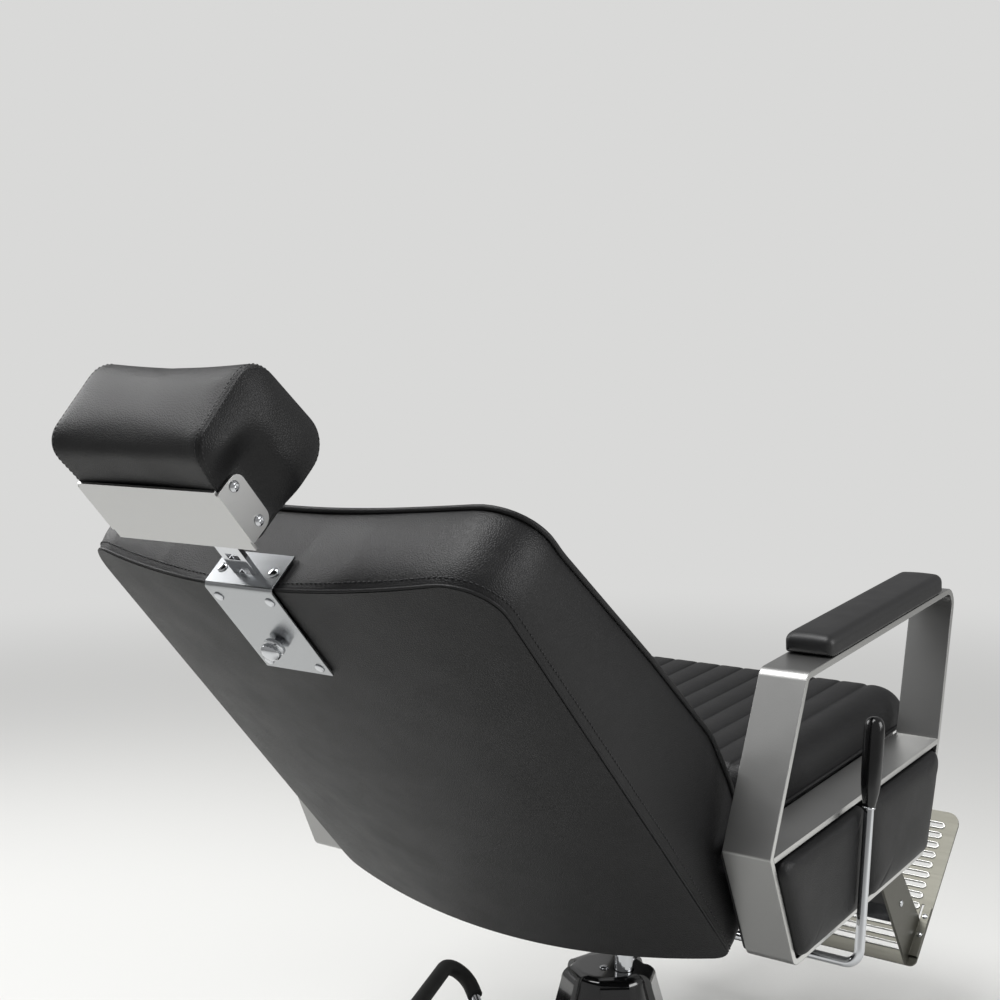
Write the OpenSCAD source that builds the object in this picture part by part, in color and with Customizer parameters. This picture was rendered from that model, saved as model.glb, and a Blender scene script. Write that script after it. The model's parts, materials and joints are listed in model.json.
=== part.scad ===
// Reclining salon chair on a five-leg pump base.
// The floor is z = 0, the origin is where the lift rod's axis meets the floor.
// The sitter faces -Y, and the sitter's left is +X.

/* [Base] */
// Height of the hub's flat top above the floor
hub_h = 235; // [200:5:280]
// Radius of the hub's top
hub_top_r = 57; // [54:1:70]
// Radius of the hub where the legs leave it
hub_foot_r = 92; // [86:1:110]
// How far the hub's centre lies beside the lift rod
hub_shift = 22; // [10:1:24]
// Reach of a leg from the hub's centre
leg_reach = 330; // [280:5:380]
// Number of legs
leg_count = 5; // [4:1:6]
// Width of a rib on the hub and of the leg's top
rib_w = 36; // [30:1:42]
// Height of a leg where it leaves the hub
leg_root_h = 88; // [75:1:110]
// Height of a leg's top at its tip
leg_tip_h = 40; // [34:1:50]
// Radius of a floor glide
glide_r = 18; // [12:1:24]
// Height of a floor glide
glide_h = 14; // [10:1:20]

/* [Lift] */
// Radius of the lift rod
rod_r = 11.5; // [10:0.5:14]
// Radius of the pump body inside the hub
pump_r = 42; // [38:1:44]
// Depth of the seat plate's underside below the seat's reference line
plate_drop = 131; // [125:1:145]
// Length of the socket under the seat plate
socket_l = 65; // [50:5:75]

/* [Pedal] */
// Distance of the tread from the hub's centre
tread_reach = 240; // [210:5:280]
// Half the length of the tread
tread_half = 146; // [110:2:160]
// Height of the tread
tread_z = 172; // [140:2:190]
// Radius of the pedal's rod
pedal_r = 6; // [5:0.5:7]
// Radius of the rubber sleeve
sleeve_r = 10.5; // [9:0.5:13]

/* [Seat] */
// Height of the seat's reference line above the floor, over the lift rod
seat_h = 526; // [510:2:560]
// Upward tilt of the seat towards its front, in degrees
seat_tilt = 4; // [2:0.5:6]
// Half the width of the seat cushion
cushion_half = 267.5; // [255:0.5:267.5]
// Seat cushion's front edge, ahead of the lift rod
cushion_front = 240; // [220:2:244]
// Seat cushion's rear edge, behind the lift rod
cushion_rear = 158; // [150:1:160]
// Height of the seat cushion above the reference line
cushion_h = 47; // [42:1:60]
// Distance between two sewn channels
channel_pitch = 34; // [28:1:36]
// Number of padded channels
channel_count = 13; // [11:2:13]
// Depth of a sewn channel
channel_d = 4; // [2:0.5:6]
// Thickness of the plywood seat pan
pan_t = 12; // [9:1:14]
// Height of a square cross tube
tube_h = 30; // [25:1:35]

/* [Arms] */
// Half the width over the arms' outer edges
arm_half = 325; // [320:1:350]
// Width of the arm's flat steel band
band_w = 52; // [44:1:52]
// Thickness of the arm's band
band_t = 7; // [5:0.5:9]
// Height of the arm's rear top corner above the reference line
arm_rear_h = 164; // [150:2:190]
// Height of the arm's front top corner above the reference line
arm_front_h = 176; // [160:2:200]
// Depth of the side panel below the reference line
panel_d = 128; // [115:1:140]
// How far the side pads stand out past the arm's band
panel_proud = 12; // [8:1:14]
// Thickness of the padded armrest
arm_pad_t = 22; // [20:1:28]
// Width of the padded armrest
arm_pad_w = 55; // [48:1:60]
// Thickness of the inner steel side plate
side_t = 5; // [4:0.5:5]

/* [Back] */
// Lean of the backrest from upright, in degrees
recline = 42.3; // [38:0.1:46]
// Distance of the recline axis behind the lift rod
hinge_y = 225; // [220:1:230]
// Depth of the recline axis below the seat's reference line
hinge_drop = 46; // [40:1:50]
// Half the backrest's width at its foot
back_foot_half = 262; // [256:1:262]
// Half the backrest's width at its top
back_top_half = 246; // [236:1:250]
// Height of the backrest above the recline axis
back_top = 507; // [480:1:540]
// Depth of the backrest below the recline axis
back_foot = 80; // [74:1:84]
// How far the rear panel's middle lies behind the recline axis
back_rear = 99.6; // [98:0.2:104]
// How much the rear panel bulges between its middle and its sides
back_crown = 36; // [24:1:38]
// Forward swell of the lumbar support at the side
lumbar_swell = 70; // [60:1:74]
// Thickness of the rear panel
panel_t = 10; // [8:1:12]
// Thickness of the plywood back board
board_t = 12; // [9:1:14]
// Thickness of the leather side band
back_band_t = 10; // [8:1:12]

/* [Headrest] */
// Half the length of the headrest cushion
head_half = 98; // [92:1:110]
// Height of the headrest cushion
head_h = 110; // [100:1:130]
// Depth of the headrest cushion
head_d = 116; // [104:1:122]
// Gap between the backrest's top plate and the headrest's bracket
head_gap = 72; // [66:1:90]
// Half the length of the headrest's bracket
bracket_half = 83; // [70:1:84]
// Height of the headrest's bracket
bracket_h = 64; // [50:1:70]
// Width of the notched post
post_w = 29; // [24:1:34]
// Thickness of the notched post
post_t = 5; // [4:0.5:6]
// Width of the mount plate on the rear panel
mount_w = 83; // [70:1:95]
// Height of the mount plate on the rear panel
mount_h = 113; // [100:1:130]

/* [Lever] */
// Distance of the lever's pivot behind the lift rod
lever_y = 88; // [80:1:96]
// Depth of the lever's pivot below the seat plate's underside
lever_hang = 43; // [36:1:50]
// Distance of the lever's grip beside the lift rod
lever_x = 343; // [343:1:352]
// Radius of the lever's rod
lever_r = 5.3; // [4.5:0.1:6]
// Length of the lever from its pivot to the top of its grip
lever_l = 262; // [240:1:290]
// Length of the grip
grip_l = 95; // [80:1:110]

/* [Leg rest] */
// Half the width of the slotted footplate
leg_half = 200; // [180:2:210]
// Distance of the leg rest's axis ahead of the lift rod
leg_axis_y = 200; // [196:1:206]
// Depth of the leg rest's axis below the seat's reference line
leg_axis_drop = 86; // [80:1:90]
// Thickness of a side plate
leg_plate_t = 4; // [3:0.5:6]
// Length of the slotted footplate, up its slope
foot_l = 250; // [220:2:280]
// Thickness of the slotted footplate
foot_t = 3; // [2:0.5:4]
// Number of rows of slots
slot_rows = 13; // [8:1:14]
// Width of a slot
slot_w = 8; // [6:0.5:9]

/* [Hidden] */
$fn = 48;

// One overrun for every cut
over = 1;
// Radial gap of a shaft that runs in a bore
run_gap = 0.05;
// Gap between pieces that lie against each other
seat_gap = 0.3;
// Steps in a rounded corner of a plain outline, and in one of a padded outline
corner_steps = 6;
pad_steps = 4;
// Stretches that a padded outline's straight side is cut into
pad_runs = 6;

// Steps of a swept tube's bend and sides of its section
sweep_steps = 8;
sweep_sides = 20;

// Heights that go with the seat
plate_z = seat_h - plate_drop;
hinge_z = seat_h - hinge_drop;
lever_z = plate_z - lever_hang;
leg_axis_z = seat_h - leg_axis_drop;

// Hub and legs
hub_shoulder = 14;
hub_wall = 9;
rib_proud = 5;
rib_drop = 1;
leg_under = 34;
leg_tip_w = 30;
nose_share = 0.75;
star_turn = 58;
plug_r = 6;
plug_h = 3;
plug_y = 11;
valve_r = 5;
valve_h = 4.5;
valve_x = -12;
valve_y = -34;
leg_step = 360 / leg_count;
pump_top = hub_h - hub_wall;
pump_foot = 18;
rod_hole_gap = 1.5;
lift_foot = 105;
glide_at = leg_reach - glide_r;

// Pedal, whose axle lies beside the hub, midway between two legs
pedal_turn = star_turn - leg_step / 2;
hub_face_r = hub_foot_r - rib_proud + seat_gap;
lug_t = 8;
lug_gap = 44;
lug_r = 14;
axle_at = hub_foot_r + lug_r + lug_t;
axle_z = 62;
axle_r = 6;
pedal_root_half = 12;
bow_neck = 34;
bow_bend = 26;
sleeve_tail = 14;

// Seat frame
plate_t = 8;
plate_half = 95;
socket_r = 24;
flange_r = 48;
bolt_at = 28;
bolt_r = 4;
bolt_head_r = 6.5;
bolt_head_h = 5;
rail_x = 62;
rail_t = 6;
pan_drop = 10;
tube_w = 30;
tube_wall = 2.5;
front_tube_y = -135;
rear_tube_y = 92;
pan_half = 252;
pan_front = 222;
pan_rear = 150;
pan_top = -pan_drop;
tube_top = pan_top - pan_t;
tube_foot = tube_top - tube_h;
inner_x = arm_half - band_w;
side_x = inner_x - side_t;

// Seat cushion
welt_z = 6;
foot_tuck = 9;
rear_roll = 20;
front_roll = 34;
rear_corner = 40;
front_corner = 22;
roll_steps = 5;
channel_half = channel_pitch * channel_count / 2;

// Arms, whose outline is drawn in the seat's tilted frame as distance and height
arm_rear_top = 176;
arm_crease = 264;
arm_rear_foot = 215;
arm_front_foot = -135;
arm_front_crease = -187;
arm_front_top = -241;
arm_line = [[arm_front_top, arm_front_h], [arm_front_crease, 0], [arm_front_foot, -panel_d],
    [arm_rear_foot, -panel_d], [arm_crease, 0], [arm_rear_top, arm_rear_h]];
arm_round = [20, 9, 14, 14, 5, 14];
inner_round = 3;
bar_t = 6;
pad_rear_gap = 55;
pad_front_gap = 44;
arm_pad_round = 10;
arm_pad_foot_round = 4;
end_round = 10;
panel_gap = 1.2;
groove_y = 44;
groove_w = 7;
panel_round = 15;
panel_crown = 14;

// Backrest, in a frame that leans with it and has its origin on the recline axis
wrap = 24;
back_top_round = 50;
back_foot_round = 18;
back_swell = 8;
back_line = [[-back_foot_half, -back_foot], [back_foot_half, -back_foot],
    [back_top_half, back_top], [-back_top_half, back_top]];
back_round = [back_foot_round, back_foot_round, back_top_round, back_top_round];
// Side view of the front edge, as shares of the height and of the lumbar swell
front_shares = [[-1, -0.38], [-0.5, 0.1], [0, 0.59], [0.12, 0.87],
    [0.25, 1], [0.53, 0.73], [0.88, 0.3], [1, 0.28]];
swell_shares = [[0, 0], [0.06, 0.45], [0.15, 0.75], [0.4, 1], [1, 1]];
swell_reach = 160;
crown_steps = 720;
crown_r = (back_top_half * back_top_half + back_crown * back_crown) / (2 * back_crown);
board_margin = 26;
panel_margin = 3;
shaft_r = 10;
pin_r = 8;
shaft_room = 3;
arm_at = 209;
hinge_arm_t = 8;
hinge_hub_r = 16;
strap_foot = 44;
strap_top = 190;
strap_w = 20;
hub_flank_share = 0.7;
recess_half = 30;
recess_top = 34;
recess_deep = 62;

// Gas strut under the seat, whose pin runs in the slot of the back's lever
lever_drop = 60;
lever_lead = 5;
lever_t = 12;
slot_in = 59;
slot_out = 68;
slot_play = 0.8;
slot_wall = 6;
strut_pin_r = 5;
strut_z = hinge_z - lever_drop;
strut_pin_y = hinge_y - lever_drop * tan(lever_lead);
strut_r = 11;
strut_rod_r = 5;
strut_front = -60;
strut_rear = 130;
strut_blind = 22;
strut_rod_in = 62;
saddle_l = 18;
saddle_half = 9;
saddle_inset = 12;
fork_t = 4;
fork_gap = 0.5;
fork_l = 26;
fork_h = 20;
fork_base = 8;

// Headrest
mount_t = 2.5;
post_play = 0.1;
guide_wall = 3;
plate_back = back_rear + seat_gap + mount_t;
flange_deep = 41;
flange_z = back_top + seat_gap;
post_y = back_rear - panel_t - seat_gap - guide_wall - post_play - post_t / 2;
post_down = 135;
guide_down = 118;
guide_top_gap = 12;
post_into = 48;
head_foot = flange_z + mount_t + head_gap;
head_behind = 8.6;
head_rear = plate_back + head_behind;
bracket_t = 2.5;
flange_w = 29;
flange_margin = 5;
lip_half = 22;
head_round = 28;
head_foot_round = 12;
head_rear_round = 22;
head_lean = 4;
head_front_share = 0.86;
head_top_rise = 11;
head_dip = 3;
notch_w = 15;
notch_h = 7;
notch_pitch = 18;
notch_count = 9;
knob_down = 72;
knob_r = 10.5;
knob_l = 15;
knob_off = 2.5;
knob_neck_share = 0.6;
stem_r = 4;
oval_r = 5;
oval_h = 2.2;
screw_edge = 10;
dome_r = 5;
dome_h = 3;

// Lever
lever_lean = 6.7;
lever_bend = 16;
lever_end_x = 45;
stop_r = 10;
stop_t = 5;
grip_foot_r = 6.6;
grip_top_r = 11;
grip_dome = 8;
// Taper of the grip, as shares of its length and of its widening
grip_shares = [[0.08, 0.3], [0.17, 0.7], [0.3, 0.95], [0.45, 1]];
hanger_out = 90;
hanger_in = 66;
hanger_t = 6;
hanger_r = 13;

// Leg rest, in side view from its axle
leg_plate_in = 12;
leg_plate_x = leg_half - leg_plate_in;
axle_wall = 14;
leg_top_r = 22;
leg_axle_r = 7;
lug_w = 7;
leg_run_gap = 1;
foot_slope = 45;
tip_y = -255;
tip_z = -303;
leg_back = [-160, -164];
leg_front = [-232, -164];
leg_rest_foot = 70;
leg_flange_t = 4;
leg_flange_from = 14;
leg_flange_to = 92;
beam_y = -211;
beam_z = -214;
beam_h = 25;
beam_w = 16;
beam_wall = 2;
shin_turn = 41.5;
board_from = 52;
board_to = 276;
board_back = 12;
calf_t = 26;
calf_board_t = 9;
calf_side_gap = 4;
calf_round = 22;
calf_crown = 8;
foot_round = 20;
foot_margin = 20;
foot_web = 22;
foot_end = 16;
side_slot_w = 4;
side_slot_l = 24;
side_slot_from = 72;
leg_screw_r = 4;
leg_screw_h = 2.5;
leg_bolt_at = [-229, -206];
leg_screw_at = [47, 76];

// Unit vector from an outline's side towards its inside, and the outline drawn in by a distance
function turn_in(a, b) = let (d = (b - a) / norm(b - a)) [-d.y, d.x];
function inset(p, t) = [for (i = [0:len(p) - 1])
    let (m = turn_in(p[(i + len(p) - 1) % len(p)], p[i]), n = turn_in(p[i], p[(i + 1) % len(p)]))
    p[i] + (m + n) * t / (1 + m * n)];

// One rounded corner of an outline that runs anticlockwise
function corner(p, r, i, steps) =
    let (b = p[i], u = p[(i + len(p) - 1) % len(p)] - b, v = p[(i + 1) % len(p)] - b,
        e = u / norm(u), f = v / norm(v), half = acos(e * f) / 2,
        c = b + (e + f) / norm(e + f) * r[i] / sin(half), s = b + e * r[i] / tan(half) - c)
    [for (k = [0:steps]) let (a = atan2(s.y, s.x) + (180 - 2 * half) * k / steps)
        c + r[i] * [cos(a), sin(a)]];
function between(a, b, runs) = [for (k = [1:1:runs - 1]) a + (b - a) * k / runs];

// Outline with rounded corners, its straight sides cut into equal runs
function rounded(p, r, steps = corner_steps, runs = 1) = [for (i = [0:len(p) - 1])
    let (here = corner(p, r, i, steps), next = corner(p, r, (i + 1) % len(p), steps))
    each concat(here, between(here[steps], next[0], runs))];
function drawn_in(p, r, t, steps = corner_steps, runs = 1, least = inner_round) =
    rounded(inset(p, t), [for (c = r) max(c - t, least)], steps, runs);
function sum(list, i = 0) = i == len(list) - 1 ? list[i] : list[i] + sum(list, i + 1);

// Solid through rings of equally many points, each ring anticlockwise as seen from the last one
module loft(rings) {
    n = len(rings[0]);
    m = len(rings);
    sides = [for (j = [0:m - 2], i = [0:n - 1]) let (a = j * n + i, b = j * n + (i + 1) % n)
        each [[a, a + n, b + n], [a, b + n, b]]];
    first = [for (i = [0:n - 1]) [m * n, i, (i + 1) % n]];
    last = [for (i = [0:n - 1]) [m * n + 1, (m - 1) * n + (i + 1) % n, (m - 1) * n + i]];
    ends = [sum(rings[0]) / n, sum(rings[m - 1]) / n];
    polyhedron(points = concat([for (ring = rings) each ring], ends), faces = concat(sides, first, last),
        convexity = 6);
}

// Closed hoop through rings, the last joined to the first
module hoop(rings) {
    n = len(rings[0]);
    m = len(rings);
    sides = [for (j = [0:m - 1], i = [0:n - 1])
        let (a = j * n + i, b = j * n + (i + 1) % n, c = (j + 1) % m * n + i,
            d = (j + 1) % m * n + (i + 1) % n)
        each [[a, c, d], [a, d, b]]];
    polyhedron(points = [for (ring = rings) each ring], faces = sides, convexity = 6);
}

// Side view outlines are drawn out along X, front view ones along Y
module along_x(from, to) {
    translate([from, 0, 0]) rotate([90, 0, 90]) linear_extrude(to - from) children();
}
module along_y(from, to) {
    translate([0, to, 0]) rotate([90, 0, 0]) linear_extrude(to - from) children();
}
module box(low, high) {
    translate(low) cube(high - low);
}
module bar(from, to, r) {
    d = to - from;
    translate(from) rotate([0, atan2(norm([d.x, d.y]), d.z), atan2(d.y, d.x)]) cylinder(r = r, h = norm(d));
}
module rod_x(from, to, y, z, r) {
    translate([from, y, z]) rotate([0, 90, 0]) cylinder(r = r, h = to - from);
}
module rod_y(from, to, x, z, r) {
    translate([x, from, z]) rotate([-90, 0, 0]) cylinder(r = r, h = to - from);
}
function unit(a) = a / norm(a);
// Screw head with a domed top, standing on the plane z = 0
module dome(r, h) {
    ball = (r * r + h * h) / (2 * h);
    intersection() {
        translate([0, 0, h - ball]) sphere(r = ball);
        cylinder(r = r + over, h = h + over);
    }
}

// Length that a bend takes off the straight run beside it
function bend_run(route, i, r) =
    r / tan(acos(unit(route[i - 1] - route[i]) * unit(route[i + 1] - route[i])) / 2);
// Points along a route in one plane, its inner corners bent, and a tube swept along them
function swept_path(route, bends) = [for (i = [0:len(route) - 1])
    each i == 0 || i == len(route) - 1 ? [route[i]] :
    let (a = unit(route[i - 1] - route[i]), b = unit(route[i + 1] - route[i]), open = acos(a * b),
        c = route[i] + unit(a + b) * bends[i] / sin(open / 2),
        s = route[i] + a * bend_run(route, i, bends[i]) - c)
    [for (k = [0:sweep_steps]) let (t = (180 - open) * k / sweep_steps)
        c + s * cos(t) - a * bends[i] * sin(t)]];
function swept_rings(path, normal, r) = let (last = len(path) - 1) [for (i = [0:last])
    let (t = unit(path[min(i + 1, last)] - path[max(i - 1, 0)]), side = cross(t, normal))
    [for (k = [0:sweep_sides - 1]) let (a = 360 * k / sweep_sides)
        path[i] + r * (normal * cos(a) + side * sin(a))]];
module swept(path, normal, r) {
    loft(swept_rings(path, normal, r));
}
// Hose along the same kind of path: each ring runs out along its outside and back along its bore
module hose(path, normal, r, bore) {
    outer = swept_rings(path, normal, r);
    inner = swept_rings(path, normal, bore);
    hoop([for (k = [0:sweep_sides - 1])
        concat([for (ring = outer) ring[k]], reversed([for (ring = inner) ring[k]]))]);
}

// Frames that carry the pieces
module on_hub() {
    translate([hub_shift, 0, 0]) children();
}
module on_pedal() {
    on_hub() rotate([0, 0, pedal_turn]) children();
}
module on_seat() {
    translate([0, 0, seat_h]) rotate([-seat_tilt, 0, 0]) children();
}
module on_back() {
    translate([0, hinge_y, hinge_z]) rotate([-recline, 0, 0]) children();
}
module on_leg() {
    translate([0, -leg_axis_y, leg_axis_z]) children();
}
module both_sides() {
    children();
    mirror([1, 0, 0]) children();
}
function to_seat(y, z) = [y * cos(seat_tilt) - (z - seat_h) * sin(seat_tilt),
    y * sin(seat_tilt) + (z - seat_h) * cos(seat_tilt)];

// Base
hub_shoulder_arc = [for (a = [0:15:90]) [hub_shoulder * (cos(a) - 1), hub_h + hub_shoulder * (sin(a) - 1)]];
hub_outline = concat(
    [[0, leg_under], [hub_foot_r - rib_proud, leg_under], [hub_foot_r - rib_proud, leg_root_h]],
    [for (p = hub_shoulder_arc) [hub_top_r - rib_proud + p.x, p.y]], [[0, hub_h]]);
leg_side = concat([[rib_w, leg_under + rib_drop], [hub_foot_r, leg_under + rib_drop],
    [leg_reach - 2 * glide_r, glide_h],
    [leg_reach, glide_h], [leg_reach, leg_tip_h * nose_share], [leg_reach - leg_tip_h / 3, leg_tip_h],
    [hub_foot_r + rib_w, leg_root_h - rib_w / 3], [hub_foot_r, leg_root_h + rib_w / 3]],
    [for (p = hub_shoulder_arc) [hub_top_r + p.x, p.y - rib_drop]], [[rib_w, hub_h - rib_drop]]);
leg_plan = [[0, -rib_w / 2], [hub_foot_r, -rib_w / 2], [leg_reach, -leg_tip_w / 2],
    [leg_reach, leg_tip_w / 2], [hub_foot_r, rib_w / 2], [0, rib_w / 2]];

module leg() {
    intersection() {
        translate([0, rib_w / 2, 0]) rotate([90, 0, 0]) linear_extrude(rib_w) polygon(leg_side);
        linear_extrude(hub_h) polygon(leg_plan);
    }
}
module base_star() {
    color([0.03, 0.03, 0.035]) difference() {
        on_hub() union() {
            rotate_extrude() polygon(hub_outline);
            for (i = [0:leg_count - 1]) rotate([0, 0, star_turn + i * leg_step]) leg();
        }
        on_hub() translate([0, 0, -over]) cylinder(r = pump_r + seat_gap, h = pump_top + over);
        cylinder(r = rod_r + rod_hole_gap, h = hub_h + over);
    }
}
module glides() {
    color([0.1, 0.1, 0.1]) on_hub() for (i = [0:leg_count - 1]) rotate([0, 0, star_turn + i * leg_step])
        translate([glide_at, 0, 0]) cylinder(r = glide_r, h = glide_h);
}
module pump_body() {
    color([0.25, 0.25, 0.27]) difference() {
        on_hub() translate([0, 0, pump_foot]) cylinder(r = pump_r, h = pump_top - pump_foot);
        translate([0, 0, pump_foot + hub_wall]) cylinder(r = rod_r + run_gap, h = hub_h);
    }
}
module hub_screws() {
    color([0.8, 0.8, 0.82]) on_hub() union() {
        translate([0, plug_y, hub_h]) dome(plug_r, plug_h);
        translate([valve_x, valve_y, hub_h]) dome(valve_r, valve_h);
    }
}

// Pedal
module pedal_bracket() {
    color([0.05, 0.05, 0.055]) on_pedal() difference() {
        union() {
            box([hub_foot_r - lug_r, -lug_gap / 2 - lug_t, leg_under],
                [hub_foot_r + lug_t - seat_gap, lug_gap / 2 + lug_t, leg_root_h]);
            for (s = [0, 1]) mirror([0, s, 0]) {
                box([hub_foot_r, lug_gap / 2, axle_z - lug_r],
                    [axle_at, lug_gap / 2 + lug_t, axle_z + lug_r]);
                rod_y(lug_gap / 2, lug_gap / 2 + lug_t, axle_at, axle_z, lug_r);
            }
        }
        cylinder(r = hub_face_r, h = hub_h);
        rod_y(-lug_gap, lug_gap, axle_at, axle_z, axle_r + run_gap);
    }
}
tread_way = [tread_reach - axle_at, 0, tread_z - axle_z];
tread_dir = tread_way / norm(tread_way);
bow_root = [axle_at, pedal_root_half, axle_z];
bow_elbow = bow_root + tread_dir * bow_neck;
bow_corner = [tread_reach, tread_half, tread_z];
bow_side = unit(bow_elbow - bow_corner);
function both_halves(half) = concat(half, [for (p = reversed(half)) [p.x, -p.y, p.z]]);
bow_route = both_halves([bow_root, bow_elbow, bow_corner]);
bow_normal = cross(tread_dir, [0, 1, 0]);
bow_path = swept_path(bow_route, [0, bow_bend, bow_bend, bow_bend, bow_bend, 0]);
sleeve_run = sleeve_tail + bend_run(bow_route, 2, bow_bend);
sleeve_route = both_halves([bow_corner + bow_side * sleeve_run, bow_corner]);
sleeve_path = swept_path(sleeve_route, [0, bow_bend, bow_bend, 0]);

module pedal_axle() {
    color([0.5, 0.5, 0.52]) on_pedal() union() {
        rod_y(-lug_gap / 2 - lug_t, lug_gap / 2 + lug_t, axle_at, axle_z, axle_r);
        rod_y(seat_gap - lug_gap / 2, lug_gap / 2 - seat_gap, axle_at, axle_z, lug_r - seat_gap);
    }
}
module pedal_bow() {
    color([0.8, 0.8, 0.82]) on_pedal() difference() {
        swept(bow_path, bow_normal, pedal_r);
        rod_y(-lug_gap, lug_gap, axle_at, axle_z, lug_r - seat_gap);
    }
}
module pedal_sleeve() {
    color([0.06, 0.06, 0.06]) on_pedal() hose(sleeve_path, bow_normal, sleeve_r, pedal_r + run_gap);
}

// Lift
module lift_rod() {
    color([0.85, 0.85, 0.87]) translate([0, 0, lift_foot])
        cylinder(r = rod_r, h = plate_z - seat_gap - lift_foot);
}
module bolt_places() {
    for (x = [-bolt_at, bolt_at], y = [-bolt_at, bolt_at]) translate([x, y, 0]) children();
}
module swivel_socket() {
    color([0.1, 0.1, 0.11]) difference() {
        union() {
            translate([0, 0, plate_z - socket_l]) cylinder(r = socket_r, h = socket_l);
            translate([0, 0, plate_z - plate_t]) cylinder(r = flange_r, h = plate_t);
        }
        translate([0, 0, plate_z - socket_l - over]) cylinder(r = rod_r + run_gap, h = socket_l + over * 2);
        bolt_places() cylinder(r = bolt_r + run_gap, h = plate_z + over);
    }
}

// Seat frame
module seat_plate() {
    color([0.12, 0.12, 0.13]) difference() {
        box([-plate_half, -plate_half, plate_z], [plate_half, lever_y + hanger_r * 2, plate_z + plate_t]);
        bolt_places() cylinder(r = bolt_r + run_gap, h = plate_z + plate_t + over);
    }
}
module plate_bolts() {
    color([0.6, 0.6, 0.62]) bolt_places() union() {
        translate([0, 0, plate_z - plate_t]) cylinder(r = bolt_r, h = plate_t * 2 + bolt_head_h / 2);
        translate([0, 0, plate_z + plate_t]) cylinder(r = bolt_head_r, h = bolt_head_h, $fn = 6);
    }
}
module seat_rails() {
    color([0.12, 0.12, 0.13]) both_sides() difference() {
        box([rail_x, front_tube_y - tube_w / 2, plate_z + plate_t],
            [rail_x + rail_t, rear_tube_y + tube_w / 2, seat_h]);
        on_seat() box([0, -leg_reach, tube_foot], [plate_half, leg_reach, seat_h]);
    }
}
module cross_tubes() {
    color([0.12, 0.12, 0.13]) on_seat() for (y = [front_tube_y, rear_tube_y]) difference() {
        box([-side_x, y - tube_w / 2, tube_foot], [side_x, y + tube_w / 2, tube_top]);
        box([-side_x - over, y - tube_w / 2 + tube_wall, tube_foot + tube_wall],
            [side_x + over, y + tube_w / 2 - tube_wall, tube_top - tube_wall]);
    }
}
module seat_pan() {
    color([0.6, 0.47, 0.3]) on_seat() box([-pan_half, -pan_front, tube_top], [pan_half, pan_rear, pan_top]);
}

// Seat cushion: one section across, whose top is a row of padded channels between two plain bolsters
function half_at(y) =
    y > cushion_rear - rear_corner ? cushion_half - rear_corner
        + sqrt(max(0, pow(rear_corner, 2) - pow(y - cushion_rear + rear_corner, 2)))
    : y < front_corner - cushion_front ? cushion_half - front_corner
        + sqrt(max(0, pow(front_corner, 2) - pow(y + cushion_front - front_corner, 2)))
    : cushion_half;
// Each point is a place across, as a share of the bolster from its seam outwards, and a height share
bolster_shares = [[1, 0], [1, 0.45], [0.95, 0.75], [0.8, 0.93], [0.55, 1], [0.25, 0.97]];
channel_shares = [[0, 1], [0.15, 0.35], [0.5, 0], [0.85, 0.35]];
// Point of the section: place across, height above the welt and depth of the channel there
function bolster(side, w) = [for (p = bolster_shares)
    [side * (channel_half + (w - channel_half) * p.x), (cushion_h - welt_z) * p.y, 0]];
function reversed(list) = [for (i = [len(list) - 1:-1:0]) list[i]];
function section(w) = concat(bolster(1, w),
    [for (k = [channel_count:-1:1], p = channel_shares)
        [-channel_half + channel_pitch * (k - p.x), cushion_h - welt_z, channel_d * p.y]],
    [[-channel_half, cushion_h - welt_z, channel_d]], reversed(bolster(-1, w)));
function seat_ring(y, roll, a) =
    let (w = half_at(y), s = sign(roll))
    concat([[foot_tuck - w, y, pan_top + seat_gap], [w - foot_tuck, y, pan_top + seat_gap]],
        [for (p = section(w)) [p.x, y - s * p.z * sin(a), welt_z + max(0, p.y - p.z) * cos(a)]]);
seat_rings = concat(
    [for (k = [roll_steps:-1:0]) let (a = 90 * k / roll_steps)
        seat_ring(cushion_rear - rear_roll + rear_roll * sin(a), 1, a)],
    [for (k = [0:roll_steps]) let (a = 90 * k / roll_steps)
        seat_ring(front_roll - cushion_front - front_roll * sin(a), -1, a)]);

module seat_cushion() {
    color([0.07, 0.07, 0.075]) on_seat() loft(seat_rings);
}

// Arms
hinge_at = to_seat(hinge_y, hinge_z);
panel_line = [arm_line[1], arm_line[2], arm_line[3], arm_line[4]];
panel_line_round = [arm_round[1], arm_round[2], arm_round[3], arm_round[4]];
module side_plate() {
    on_seat() along_x(side_x, inner_x) difference() {
        polygon(drawn_in(panel_line, panel_line_round, band_t / 2));
        translate(hinge_at) circle(r = pin_r + run_gap);
    }
}
module side_plate_left() {
    color([0.12, 0.12, 0.13]) side_plate();
}
module side_plate_right() {
    color([0.12, 0.12, 0.13]) mirror([1, 0, 0]) side_plate();
}
module arm_loop() {
    on_seat() along_x(inner_x, arm_half) difference() {
        polygon(rounded(arm_line, arm_round));
        polygon(drawn_in(arm_line, arm_round, band_t));
    }
}
module arm_loop_left() {
    color([0.1, 0.1, 0.105]) arm_loop();
}
module arm_loop_right() {
    color([0.1, 0.1, 0.105]) mirror([1, 0, 0]) arm_loop();
}
module arm_bar() {
    on_seat() along_x(inner_x, arm_half) intersection() {
        polygon(drawn_in(arm_line, arm_round, band_t));
        translate([arm_front_top, -bar_t]) square([arm_crease - arm_front_top, bar_t]);
    }
}
module arm_bar_left() {
    color([0.1, 0.1, 0.105]) arm_bar();
}
module arm_bar_right() {
    color([0.1, 0.1, 0.105]) mirror([1, 0, 0]) arm_bar();
}

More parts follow.
